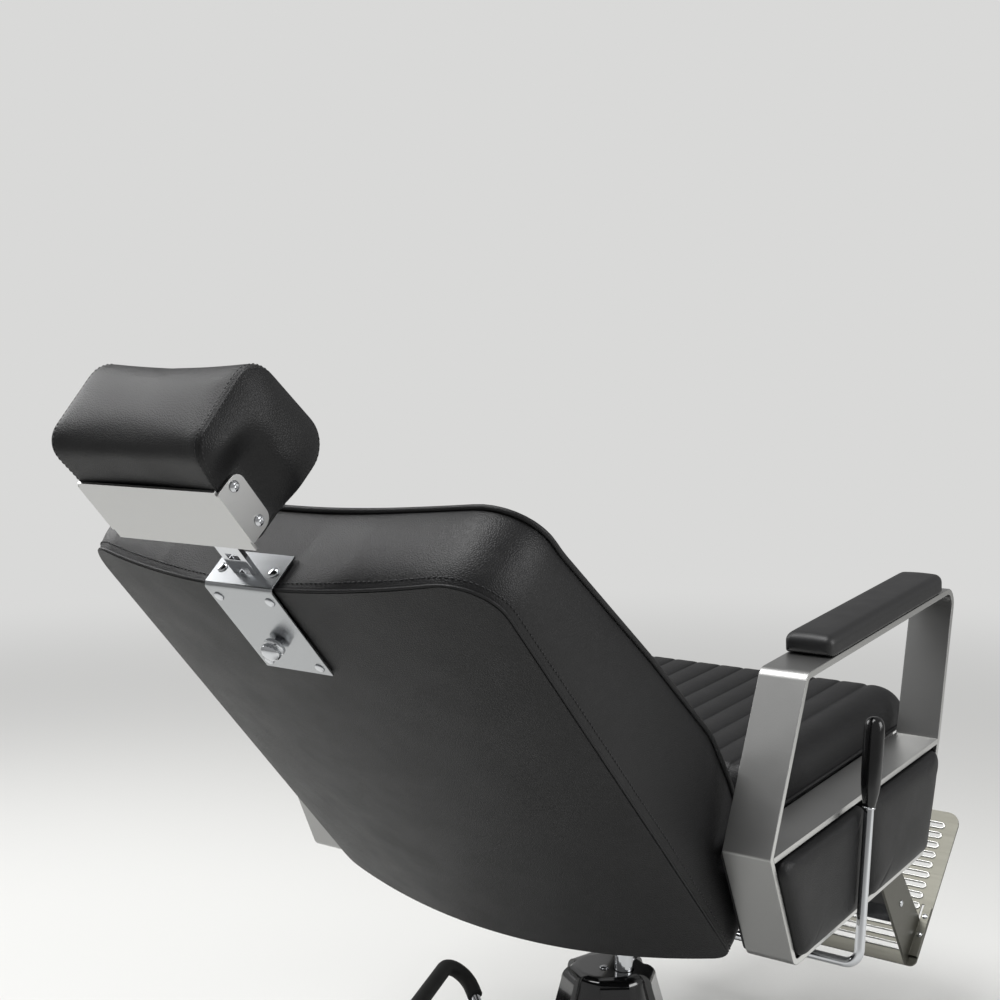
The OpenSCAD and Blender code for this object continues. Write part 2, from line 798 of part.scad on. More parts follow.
// Armrest, lying on the top run of the arm
run_d = arm_line[0] - arm_line[5];
run_l = norm(run_d);
arm_section = [[-arm_pad_w / 2, 0], [arm_pad_w / 2, 0],
    [arm_pad_w / 2, arm_pad_t], [-arm_pad_w / 2, arm_pad_t]];
arm_section_round = [arm_pad_foot_round, arm_pad_foot_round, arm_pad_round, arm_pad_round];
end_shares = [[0, 0.9], [0.12, 0.5], [0.35, 0.2], [1, 0]];
function arm_pad_ring(y, t) = [for (p = drawn_in(arm_section, arm_section_round, t, pad_steps))
    [inner_x + band_w / 2 + p.x, y, seat_gap + p.y]];
arm_pad_rings = concat(
    [for (p = end_shares) arm_pad_ring(-pad_rear_gap - end_round * p.x, end_round * p.y)],
    [for (p = reversed(end_shares)) arm_pad_ring(pad_front_gap - run_l + end_round * p.x, end_round * p.y)]);
module arm_pad() {
    on_seat() translate([0, arm_rear_top, arm_rear_h])
        rotate([atan2(run_d.y, run_d.x) - 180, 0, 0]) loft(arm_pad_rings);
}
module arm_pad_left() {
    color([0.07, 0.07, 0.075]) arm_pad();
}
module arm_pad_right() {
    color([0.07, 0.07, 0.075]) mirror([1, 0, 0]) arm_pad();
}

// Padded side panels that fill the arm's lower frame, parted by a groove
panel_area = inset(panel_line, band_t + panel_gap);
function slant(a, b, y) = [y, a.y + (b.y - a.y) * (y - a.x) / (b.x - a.x)];
front_area = [panel_area[0], panel_area[1], slant(panel_area[1], panel_area[2], groove_y - groove_w / 2),
    slant(panel_area[0], panel_area[3], groove_y - groove_w / 2)];
rear_area = [slant(panel_area[0], panel_area[3], groove_y + groove_w / 2),
    slant(panel_area[1], panel_area[2], groove_y + groove_w / 2), panel_area[2], panel_area[3]];
panel_round_all = [panel_round, panel_round, panel_round, panel_round];
panel_shares = [[1, 0], [0.8, 0.02], [0.35, 0.25], [0.1, 0.6], [0, 1.1]];
function panel_ring(area, x, t) =
    [for (p = drawn_in(area, panel_round_all, t, pad_steps, 1, panel_round / 2)) [x, p.x, p.y]];
function panel_rings(area) = concat([panel_ring(area, inner_x + seat_gap, 0)],
    [for (p = panel_shares) panel_ring(area, arm_half + panel_proud - panel_crown * p.x, panel_crown * p.y)]);
module front_panel_left() {
    color([0.07, 0.07, 0.075]) on_seat() loft(panel_rings(front_area));
}
module front_panel_right() {
    color([0.07, 0.07, 0.075]) mirror([1, 0, 0]) on_seat() loft(panel_rings(front_area));
}
module rear_panel_left() {
    color([0.07, 0.07, 0.075]) on_seat() loft(panel_rings(rear_area));
}
module rear_panel_right() {
    color([0.07, 0.07, 0.075]) mirror([1, 0, 0]) on_seat() loft(panel_rings(rear_area));
}

// Recline lever
lever_top = [-lever_x, lever_y - lever_l * sin(lever_lean), lever_z + lever_l * cos(lever_lean)];
lever_corner = [-lever_x, lever_y, lever_z];
lever_way = (lever_top - lever_corner) / lever_l;
lever_route = [[-lever_end_x, lever_y, lever_z], lever_corner, lever_top - lever_way * (grip_dome + lever_r)];
lever_normal = cross([1, 0, 0], lever_way);
module lever_bracket() {
    color([0.12, 0.12, 0.13]) difference() {
        for (x = [-hanger_out, -hanger_in]) union() {
            box([x, lever_y - hanger_r, lever_z], [x + hanger_t, lever_y + hanger_r, plate_z]);
            rod_x(x, x + hanger_t, lever_y, lever_z, hanger_r);
        }
        rod_x(-leg_half, 0, lever_y, lever_z, lever_r + run_gap);
    }
}
module lever_rod() {
    color([0.85, 0.85, 0.87]) union() {
        swept(swept_path(lever_route, [0, lever_bend, 0]), lever_normal, lever_r);
        for (x = [-hanger_in + hanger_t + seat_gap, -hanger_out - seat_gap - stop_t])
            rod_x(x, x + stop_t, lever_y, lever_z, stop_r);
    }
}
module lever_grip() {
    dome_at = grip_l - grip_dome;
    color([0.05, 0.05, 0.055]) difference() {
        translate(lever_top - lever_way * grip_l) rotate([lever_lean, 0, 0]) rotate_extrude() polygon(concat(
            [[0, 0], [grip_foot_r, 0]],
            [for (p = grip_shares) [grip_foot_r + (grip_top_r - grip_foot_r) * p.y, grip_l * p.x]],
            [for (a = [0:15:90]) [grip_top_r * cos(a), dome_at + grip_dome * sin(a)]]));
        bar(lever_top - lever_way * (grip_l + over), lever_top - lever_way * grip_dome, lever_r + run_gap);
    }
}

// Gas strut
module strut_bracket() {
    color([0.12, 0.12, 0.13]) difference() {
        for (y = [strut_front + saddle_inset, plate_half - saddle_l])
            box([-saddle_half, y, plate_z + plate_t], [saddle_half, y + saddle_l, strut_z]);
        rod_y(strut_front, strut_rear, 0, strut_z, strut_r + run_gap);
    }
}
module strut_cylinder() {
    color([0.06, 0.06, 0.065]) difference() {
        rod_y(strut_front, strut_rear, 0, strut_z, strut_r);
        rod_y(strut_front + strut_blind, strut_rear + over, 0, strut_z, strut_rod_r + run_gap);
    }
}
module strut_rod() {
    fork_x = lever_t / 2 + fork_gap;
    fork_foot = strut_pin_y - fork_l;
    color([0.75, 0.75, 0.77]) union() {
        rod_y(strut_rear - strut_rod_in, fork_foot, 0, strut_z, strut_rod_r);
        box([-fork_x - fork_t, fork_foot - fork_base, strut_z - fork_h / 2],
            [fork_x + fork_t, fork_foot, strut_z + fork_h / 2]);
        for (s = [0, 1]) mirror([s, 0, 0]) {
            box([fork_x, fork_foot, strut_z - fork_h / 2],
                [fork_x + fork_t, strut_pin_y, strut_z + fork_h / 2]);
            rod_x(fork_x, fork_x + fork_t, strut_pin_y, strut_z, fork_h / 2);
        }
        rod_x(-fork_x - fork_t, fork_x + fork_t, strut_pin_y, strut_z, strut_pin_r);
    }
}

// Backrest
function panel_front(x) = back_rear - crown_r + sqrt(pow(crown_r - panel_t, 2) - x * x);
board_rear = panel_front(back_foot_half - board_margin) - seat_gap;
board_front = board_rear - board_t;
front_line = [for (p = front_shares) [p.x * (p.x < 0 ? back_foot : back_top), -p.y * lumbar_swell]];
function side_half(z) =
    back_foot_half + (back_top_half - back_foot_half) * (z + back_foot) / (back_top + back_foot);
function front_at(x, z) = lookup(z, front_line) + wrap * (1 - pow(x / side_half(z), 2));
function swell_at(t) = back_swell * lookup(t / swell_reach, swell_shares);
inset_shares = [0, 0.03, 0.09, 0.2, 0.45, 1];
function back_outline(t) = drawn_in(back_line, back_round, t, pad_steps, pad_runs, inner_round * 2);
back_rings = concat([[for (p = back_outline(back_band_t + seat_gap)) [p.x, board_front - seat_gap, p.y]]],
    [for (u = inset_shares) let (t = u * swell_reach)
        [for (p = back_outline(back_band_t + seat_gap + t)) [p.x, front_at(p.x, p.y) - swell_at(t), p.y]]]);
band_rings = let (out = back_outline(0), in = back_outline(back_band_t)) [for (i = [0:len(out) - 1])
    let (a = out[i], b = in[i], front = front_at(a.x, a.y))
    [[a.x, front, a.y], [a.x, panel_front(a.x) - seat_gap, a.y], [b.x, panel_front(b.x) - seat_gap, b.y],
        [b.x, front, b.y]]];

module recess() {
    box([-recess_half, -back_rear, -back_foot - over], [recess_half, recess_deep, recess_top]);
}
module shaft_bore() {
    rod_x(-back_foot_half - over, back_foot_half + over, 0, 0, shaft_r + seat_gap);
}
module hinge_shaft() {
    color([0.5, 0.5, 0.52]) on_back() union() {
        rod_x(shaft_room - side_x, side_x - shaft_room, 0, 0, shaft_r);
        rod_x(seat_gap - inner_x, inner_x - seat_gap, 0, 0, pin_r);
    }
}
strap_front = board_front - seat_gap;
hub_flank = hinge_hub_r * hub_flank_share;
slot_half = strut_pin_r + slot_play;
module hinge_arms() {
    color([0.12, 0.12, 0.13]) on_back() difference() {
        union() {
            both_sides() along_x(arm_at - hinge_arm_t / 2, arm_at + hinge_arm_t / 2) union() {
                circle(r = hinge_hub_r);
                polygon([[-hub_flank, hub_flank], [hub_flank, -hub_flank],
                    [strap_front, strap_foot], [strap_front, strap_top],
                    [strap_front - strap_w, strap_top], [strap_front - strap_w, strap_foot + strap_w]]);
            }
            rotate([recline - lever_lead, 0, 0]) along_x(-lever_t / 2, lever_t / 2) difference() {
                union() {
                    circle(r = hinge_hub_r);
                    translate([-strut_pin_r - slot_wall, -slot_out])
                        square([(strut_pin_r + slot_wall) * 2, slot_out]);
                    translate([0, -slot_out]) circle(r = strut_pin_r + slot_wall);
                }
                for (z = [-slot_in, -slot_out]) translate([0, z]) circle(r = slot_half);
                translate([-slot_half, -slot_out]) square([slot_half * 2, slot_out - slot_in]);
            }
        }
        rod_x(-side_x, side_x, 0, 0, shaft_r + run_gap);
    }
}
module back_board() {
    color([0.6, 0.47, 0.3]) on_back() difference() {
        along_y(board_front, board_rear) polygon(drawn_in(back_line, back_round, board_margin));
        recess();
    }
}
module back_cushion() {
    pocket = hinge_arm_t / 2 + seat_gap;
    color([0.07, 0.07, 0.075]) on_back() difference() {
        loft(back_rings);
        recess();
        shaft_bore();
        both_sides() box([arm_at - pocket, -hinge_hub_r - seat_gap, -hinge_hub_r - seat_gap],
            [arm_at + pocket, board_front, strap_top + seat_gap]);
    }
}
module post_slot(low, high) {
    box([-post_w / 2 - post_play, post_y - post_t / 2 - post_play, low],
        [post_w / 2 + post_play, post_y + post_t / 2 + post_play, high]);
}
module back_band() {
    color([0.09, 0.09, 0.095]) on_back() difference() {
        hoop(band_rings);
        recess();
        shaft_bore();
        post_slot(0, flange_z);
    }
}
module back_panel() {
    color([0.1, 0.1, 0.105]) on_back() difference() {
        intersection() {
            along_y(0, back_rear + over) polygon(drawn_in(back_line, back_round, panel_margin, corner_steps));
            translate([0, back_rear - crown_r, -back_foot]) linear_extrude(back_foot + back_top)
                difference() {
                    circle(r = crown_r, $fn = crown_steps);
                    circle(r = crown_r - panel_t, $fn = crown_steps);
                }
        }
        rod_y(0, back_rear + over, 0, back_top - knob_down, stem_r + run_gap);
    }
}

// Headrest mount
module headrest_mount() {
    color([0.8, 0.8, 0.82]) on_back() difference() {
        union() {
            for (low = [[plate_back - mount_t, back_top - mount_h], [plate_back - flange_deep, flange_z]])
                box([-mount_w / 2, low.x, low.y], [mount_w / 2, plate_back, flange_z + mount_t]);
        }
        post_slot(back_top - mount_h, flange_z + mount_t + over);
        rod_y(0, plate_back + over, 0, back_top - knob_down, stem_r + run_gap);
    }
}
module mount_screws() {
    color([0.85, 0.85, 0.87]) on_back() both_sides() {
        for (z = [back_top - screw_edge - mount_t, back_top - mount_h + screw_edge])
            translate([mount_w / 2 - screw_edge, plate_back, z]) rotate([-90, 0, 0]) dome(oval_r, oval_h);
        translate([mount_w / 2 - screw_edge, plate_back - flange_deep / 2, flange_z + mount_t])
            dome(oval_r, oval_h);
    }
}
module post_guide() {
    wall = guide_wall + post_play;
    color([0.15, 0.15, 0.16]) on_back() difference() {
        box([-post_w / 2 - wall, post_y - post_t / 2 - wall, back_top - guide_down],
            [post_w / 2 + wall, post_y + post_t / 2 + wall, back_top - guide_top_gap]);
        post_slot(0, flange_z);
        rod_y(post_y, plate_back, 0, back_top - knob_down, stem_r + run_gap);
    }
}
knob_y = plate_back + knob_off;
knob_z = back_top - knob_down;
module clamp_knob() {
    neck = knob_l / 3;
    neck_r = knob_r * knob_neck_share;
    color([0.85, 0.85, 0.87]) on_back() translate([0, knob_y, knob_z]) rotate([-90, 0, 0])
        rotate_extrude() polygon(concat(
            [[stem_r + run_gap, 0], [neck_r, 0], [neck_r, neck], [knob_r, neck]],
            [for (a = [0:15:90]) [knob_r * cos(a), knob_l - neck / 2 + neck / 2 * sin(a)]],
            [[0, knob_l / 2], [stem_r + run_gap, knob_l / 2]]));
}
module clamp_pin() {
    color([0.6, 0.6, 0.62]) on_back()
        rod_y(post_y + post_t / 2 + seat_gap, knob_y + knob_l / 2 - seat_gap, 0, knob_z, stem_r);
}

// Headrest
module headrest_post() {
    color([0.85, 0.85, 0.87]) on_back() difference() {
        box([-post_w / 2, post_y - post_t / 2, back_top - post_down],
            [post_w / 2, post_y + post_t / 2, head_foot + post_into]);
        for (i = [1:notch_count]) box([-notch_w / 2, post_y - post_t, head_foot - notch_pitch * i],
            [notch_w / 2, post_y + post_t, head_foot - notch_pitch * i + notch_h]);
    }
}
web_y = head_rear + seat_gap;
module headrest_bracket() {
    lip_z = head_foot - seat_gap - bracket_t;
    flange_foot = head_foot + flange_margin;
    flange_top = head_foot + bracket_h - flange_margin / 2;
    color([0.75, 0.75, 0.77]) on_back() difference() {
        union() {
            box([-bracket_half, web_y, lip_z], [bracket_half, web_y + bracket_t, head_foot + bracket_h]);
            box([-lip_half, post_y - post_t / 2 - bracket_t, lip_z],
                [lip_half, web_y + bracket_t, lip_z + bracket_t]);
            both_sides() along_x(bracket_half, bracket_half + bracket_t) polygon(rounded(
                [[web_y + bracket_t - flange_w, flange_foot], [web_y + bracket_t, flange_foot],
                [web_y + bracket_t, flange_top], [web_y + bracket_t - flange_w, flange_top]],
                [flange_margin * 2, inner_round, inner_round, flange_margin * 2]));
        }
        box([-post_w / 2 - run_gap, post_y - post_t / 2 - run_gap, lip_z - over],
            [post_w / 2 + run_gap, post_y + post_t / 2 + run_gap, head_foot]);
    }
}
// One section of the cushion, its rear edge moved forward by a cut
function head_area(cut) = [[head_rear - head_d, head_foot + head_lean], [head_rear - cut, head_foot],
    [head_rear - cut, head_foot + head_h],
    [head_rear - head_d * head_front_share, head_foot + head_h + head_top_rise]];
head_round_all = [head_round, head_foot_round, head_rear_round, head_round];
function head_ring(x, t, cut) =
    [for (p = drawn_in(head_area(cut), head_round_all, t, pad_steps, 1, inner_round * 2)) [x, p.x, p.y]];
head_flat = bracket_half - seat_gap * 2;
head_tail = head_half - head_flat;
head_end_shares = [[0, 0], [0.5, 0.1], [0.85, 0.4], [1, 1]];
head_end = concat([[head_flat - seat_gap, 0, 0]], [for (p = head_end_shares)
    [head_flat + head_tail * p.x, head_tail * p.y, flange_w + seat_gap * 2]]);
head_rings = concat([for (p = reversed(head_end)) head_ring(-p.x, p.y, p.z)],
    [head_ring(0, head_dip, 0)], [for (p = head_end) head_ring(p.x, p.y, p.z)]);
module headrest_cushion() {
    color([0.07, 0.07, 0.075]) on_back() difference() {
        loft(head_rings);
        box([-post_w / 2 - seat_gap, post_y - post_t / 2 - seat_gap, head_foot - head_dip - over],
            [post_w / 2 + seat_gap, post_y + post_t / 2 + seat_gap, head_foot + post_into + seat_gap]);
    }
}
module bracket_screws() {
    color([0.85, 0.85, 0.87]) on_back() both_sides()
        for (z = [head_foot + flange_margin + screw_edge, head_foot + bracket_h - screw_edge])
            translate([bracket_half + bracket_t, web_y - flange_w / 2, z])
                rotate([0, 90, 0]) dome(dome_r, dome_h);
}

// Leg rest
foot_tip = [tip_y, tip_z];
foot_dir = [-cos(foot_slope), sin(foot_slope)];
module on_shin() {
    on_leg() rotate([-shin_turn, 0, 0]) children();
}
module on_foot() {
    on_leg() translate([0, tip_y, tip_z]) rotate([90 - foot_slope, 0, 0]) children();
}
module leg_lugs() {
    at = to_seat(-leg_axis_y, leg_axis_z);
    lug_x = leg_plate_x - leg_plate_t - leg_run_gap;
    color([0.12, 0.12, 0.13]) both_sides() on_seat() along_x(lug_x - lug_w, lug_x) difference() {
        union() {
            translate(at) circle(r = axle_wall);
            polygon([[front_tube_y - tube_w / 2, tube_foot], at - [axle_wall, 0], at + [0, -axle_wall],
                [front_tube_y + tube_w / 2, tube_foot]]);
        }
        translate(at) circle(r = leg_axle_r + run_gap);
    }
}
module leg_axle() {
    color([0.5, 0.5, 0.52]) on_leg() rod_x(seat_gap - leg_plate_x, leg_plate_x - seat_gap, 0, 0, leg_axle_r);
}
module leg_plate() {
    inner = leg_plate_x - leg_plate_t;
    flank = leg_top_r * hub_flank_share;
    on_leg() along_x(inner, leg_plate_x) difference() {
        union() {
            circle(r = leg_top_r);
            polygon([[flank, -flank], [-flank, flank], leg_front,
                foot_tip + foot_dir * leg_rest_foot, foot_tip, leg_back]);
        }
        circle(r = leg_axle_r + run_gap);
    }
    on_foot() {
        box([leg_plate_x, 0, leg_flange_from], [leg_half - seat_gap, leg_flange_t, leg_flange_to]);
        box([inner, 0, leg_flange_from], [leg_half - seat_gap, leg_flange_t, leg_rest_foot]);
    }
}
module leg_plate_left() {
    color([0.42, 0.42, 0.4]) leg_plate();
}
module leg_plate_right() {
    color([0.42, 0.42, 0.4]) mirror([1, 0, 0]) leg_plate();
}
module leg_beam() {
    end = leg_plate_x - leg_plate_t;
    color([0.8, 0.8, 0.82]) on_leg() difference() {
        box([-end, beam_y - beam_w / 2, beam_z - beam_h / 2],
            [end, beam_y + beam_w / 2, beam_z + beam_h / 2]);
        box([-end - over, beam_y - beam_w / 2 + beam_wall, beam_z - beam_h / 2 + beam_wall],
            [end + over, beam_y + beam_w / 2 - beam_wall, beam_z + beam_h / 2 - beam_wall]);
    }
}
module calf_board() {
    end = leg_plate_x - leg_plate_t - seat_gap;
    color([0.05, 0.05, 0.055]) on_shin()
        box([-end, -board_back - calf_board_t, -board_to], [end, -board_back, -board_from]);
}
calf_half = leg_plate_x - leg_plate_t - calf_side_gap;
calf_area = [[-calf_half, -board_to], [calf_half, -board_to],
    [calf_half, -board_from], [-calf_half, -board_from]];
calf_round_all = [calf_round, calf_round, calf_round, calf_round];
calf_shares = [[0, 0], [0.7, 0], [0.9, 0.12], [1, 0.4], [1.12, 1.2], [1.22, 2.6]];
calf_face = -board_back - calf_board_t - seat_gap;
calf_rings = [for (p = calf_shares)
    [for (q = drawn_in(calf_area, calf_round_all, calf_t * p.y, pad_steps, 1, inner_round * 2))
        [q.x, calf_face - (calf_t - calf_crown) * p.x, q.y]]];
module calf_pad() {
    color([0.07, 0.07, 0.075]) on_shin() loft(calf_rings);
}

// Slotted footplate
module flat_slot(from, to, z, w) {
    translate([from + w / 2, z - w / 2]) square([to - from - w, w]);
    for (x = [from + w / 2, to - w / 2]) translate([x, z]) circle(r = w / 2);
}
module foot_outline() {
    polygon(rounded([[-leg_half, 0], [leg_half, 0], [leg_half, foot_l], [-leg_half, foot_l]],
        [foot_round / 2, foot_round / 2, foot_round, foot_round]));
}
module foot_plate() {
    pitch = (foot_l - 2 * foot_end) / slot_rows;
    color([0.42, 0.42, 0.4]) on_foot() difference() {
        along_y(-foot_t, 0) foot_outline();
        both_sides() {
            for (i = [1:slot_rows]) along_y(-foot_t - over, over)
                flat_slot(foot_web / 2, leg_half - foot_margin, foot_end + pitch * (i - 1 / 2), slot_w);
            box([leg_plate_x - side_slot_w - leg_run_gap, -foot_t - over, side_slot_from],
                [leg_plate_x - leg_run_gap, over, side_slot_from + side_slot_l]);
        }
    }
}
module leg_screws() {
    color([0.8, 0.8, 0.82]) both_sides() {
        on_leg() translate([leg_plate_x, leg_bolt_at.x, leg_bolt_at.y])
            rotate([0, 90, 0]) dome(dome_r, dome_h);
        on_foot() for (z = leg_screw_at) translate([(leg_plate_x + leg_half) / 2, leg_flange_t, z])
            rotate([-90, 0, 0]) dome(leg_screw_r, leg_screw_h);
    }
}

base_star();
glides();
pump_body();
hub_screws();
pedal_bracket();
pedal_axle();
pedal_bow();
pedal_sleeve();
lift_rod();
swivel_socket();
seat_plate();
plate_bolts();
seat_rails();
cross_tubes();
seat_pan();
seat_cushion();
side_plate_left();
side_plate_right();
arm_loop_left();
arm_loop_right();
arm_bar_left();
arm_bar_right();
arm_pad_left();
arm_pad_right();
front_panel_left();
front_panel_right();
rear_panel_left();
rear_panel_right();
lever_bracket();
leg_lugs();
strut_bracket();
strut_cylinder();
strut_rod();
lever_rod();
lever_grip();
hinge_shaft();
hinge_arms();
back_board();
back_cushion();
back_band();
back_panel();
headrest_mount();
mount_screws();
post_guide();
clamp_knob();
clamp_pin();
headrest_post();
headrest_bracket();
headrest_cushion();
bracket_screws();
leg_axle();
leg_plate_left();
leg_plate_right();
leg_beam();
calf_board();
calf_pad();
foot_plate();
leg_screws();
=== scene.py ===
# %% [markdown]
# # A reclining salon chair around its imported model
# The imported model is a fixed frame: every rigid part already stands in its place, in metres, with +Z up
# and the sitter facing -Y. This lesson dresses it: upholstery, seams, piping, screws and finishes.
# All lengths are in metres, and a place is worked out from the frame wherever the frame can give it.

# %% Load the frame
import json
import math
import bmesh
import bpy
import numpy as np
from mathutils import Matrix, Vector


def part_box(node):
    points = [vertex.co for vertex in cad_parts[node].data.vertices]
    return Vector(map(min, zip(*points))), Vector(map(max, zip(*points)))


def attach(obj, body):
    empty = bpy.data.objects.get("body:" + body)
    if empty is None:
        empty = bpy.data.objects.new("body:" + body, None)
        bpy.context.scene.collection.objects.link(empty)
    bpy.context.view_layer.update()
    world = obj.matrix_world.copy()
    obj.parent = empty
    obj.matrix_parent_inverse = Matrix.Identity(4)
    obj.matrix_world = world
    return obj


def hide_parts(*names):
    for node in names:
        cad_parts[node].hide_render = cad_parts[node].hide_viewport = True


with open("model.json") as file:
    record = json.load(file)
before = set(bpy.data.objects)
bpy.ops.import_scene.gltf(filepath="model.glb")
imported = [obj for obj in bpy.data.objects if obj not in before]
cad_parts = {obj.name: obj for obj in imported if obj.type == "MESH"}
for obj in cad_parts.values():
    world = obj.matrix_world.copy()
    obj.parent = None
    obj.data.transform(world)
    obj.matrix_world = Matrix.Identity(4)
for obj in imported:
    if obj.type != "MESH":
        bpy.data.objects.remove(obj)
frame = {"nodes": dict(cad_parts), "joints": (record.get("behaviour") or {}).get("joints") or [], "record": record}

MM = 0.001
UP = np.array([0.0, 0.0, 1.0])
JOINT = {joint["name"]: joint for joint in frame["joints"]}
BODY = {node: body for body, nodes in frame["record"]["behaviour"]["bodies"].items() for node in nodes}
SLOT = {part["node"]: part["material_slot"] for part in frame["record"]["subparts"]}
scene = bpy.context.scene
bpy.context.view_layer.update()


# %% Helpers for objects, trees and colours
def added(name, data):
    """An object around a mesh, lamp or camera, linked to the scene."""
    obj = bpy.data.objects.new(name, data)
    scene.collection.objects.link(obj)
    return obj


def put(tree, kind, inputs=None, **settings):
    """Add a node with its settings; an input takes a plain value or another node's output socket."""
    node = tree.nodes.new(kind)
    for name, value in settings.items():
        setattr(node, name, value)
    for socket, value in (inputs or {}).items():
        if isinstance(value, bpy.types.NodeSocket):
            tree.links.new(value, node.inputs[socket])
        else:
            node.inputs[socket].default_value = value
    return node


def linear(code):
    """Turn an sRGB hex colour such as #1A2B3C to the linear colour that shaders take."""
    parts = [int(code[i:i + 2], 16) / 255 for i in (1, 3, 5)]
    return [p / 12.92 if p <= 0.04045 else ((p + 0.055) / 1.055) ** 2.4 for p in parts] + [1.0]


# %% [markdown]
# ## Finishes
# Each finish starts from what the real surface is. Patterns read Object coordinates, which are metres here,
# so a scale is one over the pattern's real size. The camera stands almost two metres away, where a pixel
# covers 1.3 mm, so a grain finer than that is drawn at about 1.6 mm to show at all.

# %% Material set-up
PIXEL = 1.3 * MM
MATERIALS = {}


def new_material(name, colour, **surface):
    """A Principled surface; uniform numbers are set on its own sockets."""
    material = bpy.data.materials.new(name)
    material.use_nodes = True
    tree = material.node_tree
    shader = tree.nodes["Principled BSDF"]
    shader.inputs["Base Color"].default_value = linear(colour)
    for socket, value in surface.items():
        shader.inputs[socket.replace("_", " ")].default_value = value
    MATERIALS[name] = material
    where = put(tree, "ShaderNodeTexCoord").outputs["Object"]
    return tree, shader, where


def vary(tree, shader, where, socket, size, low, high, detail=3.0):
    """Let a number wander between low and high in blotches of a real size."""
    cloud = put(tree, "ShaderNodeTexNoise", {"Vector": where, "Scale": 1 / size, "Detail": detail})
    spread = put(tree, "ShaderNodeMapRange", {"Value": cloud.outputs["Fac"], "From Min": 0.3, "From Max": 0.7,
                                              "To Min": low, "To Max": high})
    tree.links.new(spread.outputs["Result"], shader.inputs[socket])


def tint(tree, shader, where, size, dark, light):
    """Let the base colour wander between two colours in blotches of a real size."""
    cloud = put(tree, "ShaderNodeTexNoise", {"Vector": where, "Scale": 1 / size, "Detail": 4.0})
    ramp = put(tree, "ShaderNodeValToRGB", {"Fac": cloud.outputs["Fac"]})
    ramp.color_ramp.elements[0].position = 0.3
    ramp.color_ramp.elements[0].color = linear(dark)
    ramp.color_ramp.elements[1].position = 0.7
    ramp.color_ramp.elements[1].color = linear(light)
    tree.links.new(ramp.outputs["Color"], shader.inputs["Base Color"])


def bump(tree, shader, height, depth, strength=1.0, under=None):
    """Raise the surface by a height socket, on top of an earlier bump if there is one."""
    inputs = {"Height": height, "Distance": depth, "Strength": strength}
    if under is not None:
        inputs["Normal"] = under.outputs["Normal"]
    node = put(tree, "ShaderNodeBump", inputs)
    tree.links.new(node.outputs["Normal"], shader.inputs["Normal"])
    return node


def ripple(tree, shader, where, size, depth, strength, detail=2.0):
    """Raise the surface in soft grains of a real size."""
    cloud = put(tree, "ShaderNodeTexNoise", {"Vector": where, "Scale": 1 / size, "Detail": detail})
    return bump(tree, shader, cloud.outputs["Fac"], depth, strength)


# %% Upholstery vinyl
# Polyurethane leather: a knit backing with a pigmented skin, embossed by a roller with a pebble grain.
# The eye sees fine cells that break up the highlight, and slow waves where the foam lifts the cover.
def upholstery(name, dark, light, roughness, grain, depth):
    tree, shader, where = new_material(name, dark, Roughness=roughness, Specular_IOR_Level=0.3)
    tint(tree, shader, where, 60 * MM, dark, light)
    vary(tree, shader, where, "Roughness", 45 * MM, roughness - 0.03, roughness + 0.03)
    slow = ripple(tree, shader, where, 22 * MM, 0.4 * MM, 0.5)
    cells = put(tree, "ShaderNodeTexVoronoi", {"Vector": where, "Scale": 1 / grain}, feature="DISTANCE_TO_EDGE")
    crease = put(tree, "ShaderNodeMapRange", {"Value": cells.outputs["Distance"], "From Max": 0.25})
    bump(tree, shader, crease.outputs["Result"], depth, 0.8, slow)


upholstery("black_vinyl", "#0E0E0F", "#121213", 0.46, 1.7 * PIXEL, 0.16 * MM)
upholstery("grained_vinyl", "#0E0E0F", "#121213", 0.45, 1.7 * PIXEL, 0.17 * MM)
upholstery("matte_vinyl", "#101011", "#131314", 0.50, 1.8 * PIXEL, 0.24 * MM)
print("upholstery finishes:", [name for name in MATERIALS])

# %% Metals
# Chrome plate is a thin mirror over polished steel: no grain, only faint smears that widen the highlight.
tree, shader, where = new_material("chrome", "#C9CBCE", Metallic=1.0, Roughness=0.07)
vary(tree, shader, where, "Roughness", 12 * MM, 0.04, 0.11)


def ground_steel(name, colour, roughness, spread, line, along):
    """Steel whose grinding lines run along one axis: bands of noise, stretched 40 times, change the roughness."""
    tree, shader, where = new_material(name, colour, Metallic=1.0, Roughness=roughness)
    stretch = [1 / line, 1 / line, 1 / line]
    stretch[along] /= 40
    lines = put(tree, "ShaderNodeMapping", {"Vector": where, "Scale": stretch})
    vary(tree, shader, lines.outputs["Vector"], "Roughness", 1.0, roughness - spread, roughness + spread)


# The headrest's bracket is stainless sheet with long, very fine brush lines across it.
ground_steel("brushed_steel", "#B6B6B5", 0.30, 0.01, 1.6 * PIXEL, 0)
# The footplate and its gussets are stainless sheet, ground satin, which looks darker and a little olive.
ground_steel("slotted_steel", "#65645D", 0.42, 0.04, 1.6 * PIXEL, 0)
# The pressed rims of its slots get a paler, smoother steel: a painted highlight along each rim.
ground_steel("rim_steel", "#D2D2CF", 0.25, 0.03, 1.6 * PIXEL, 0)
# Turned shafts keep fine lathe lines round them.
ground_steel("machined_steel", "#A2A3A6", 0.30, 0.04, 1.6 * PIXEL, 2)
# The arm's band gets a paler, smoother steel on its two narrow edges: a painted highlight for the light they catch.
ground_steel("edge_steel", "#D0D0CE", 0.24, 0.02, 1.6 * PIXEL, 1)
# The headrest's mount is bent from plated sheet that was buffed, not mirror polished, so images in it are soft.
ground_steel("buffed_steel", "#A6A8AA", 0.23, 0.02, 1.6 * PIXEL, 0)

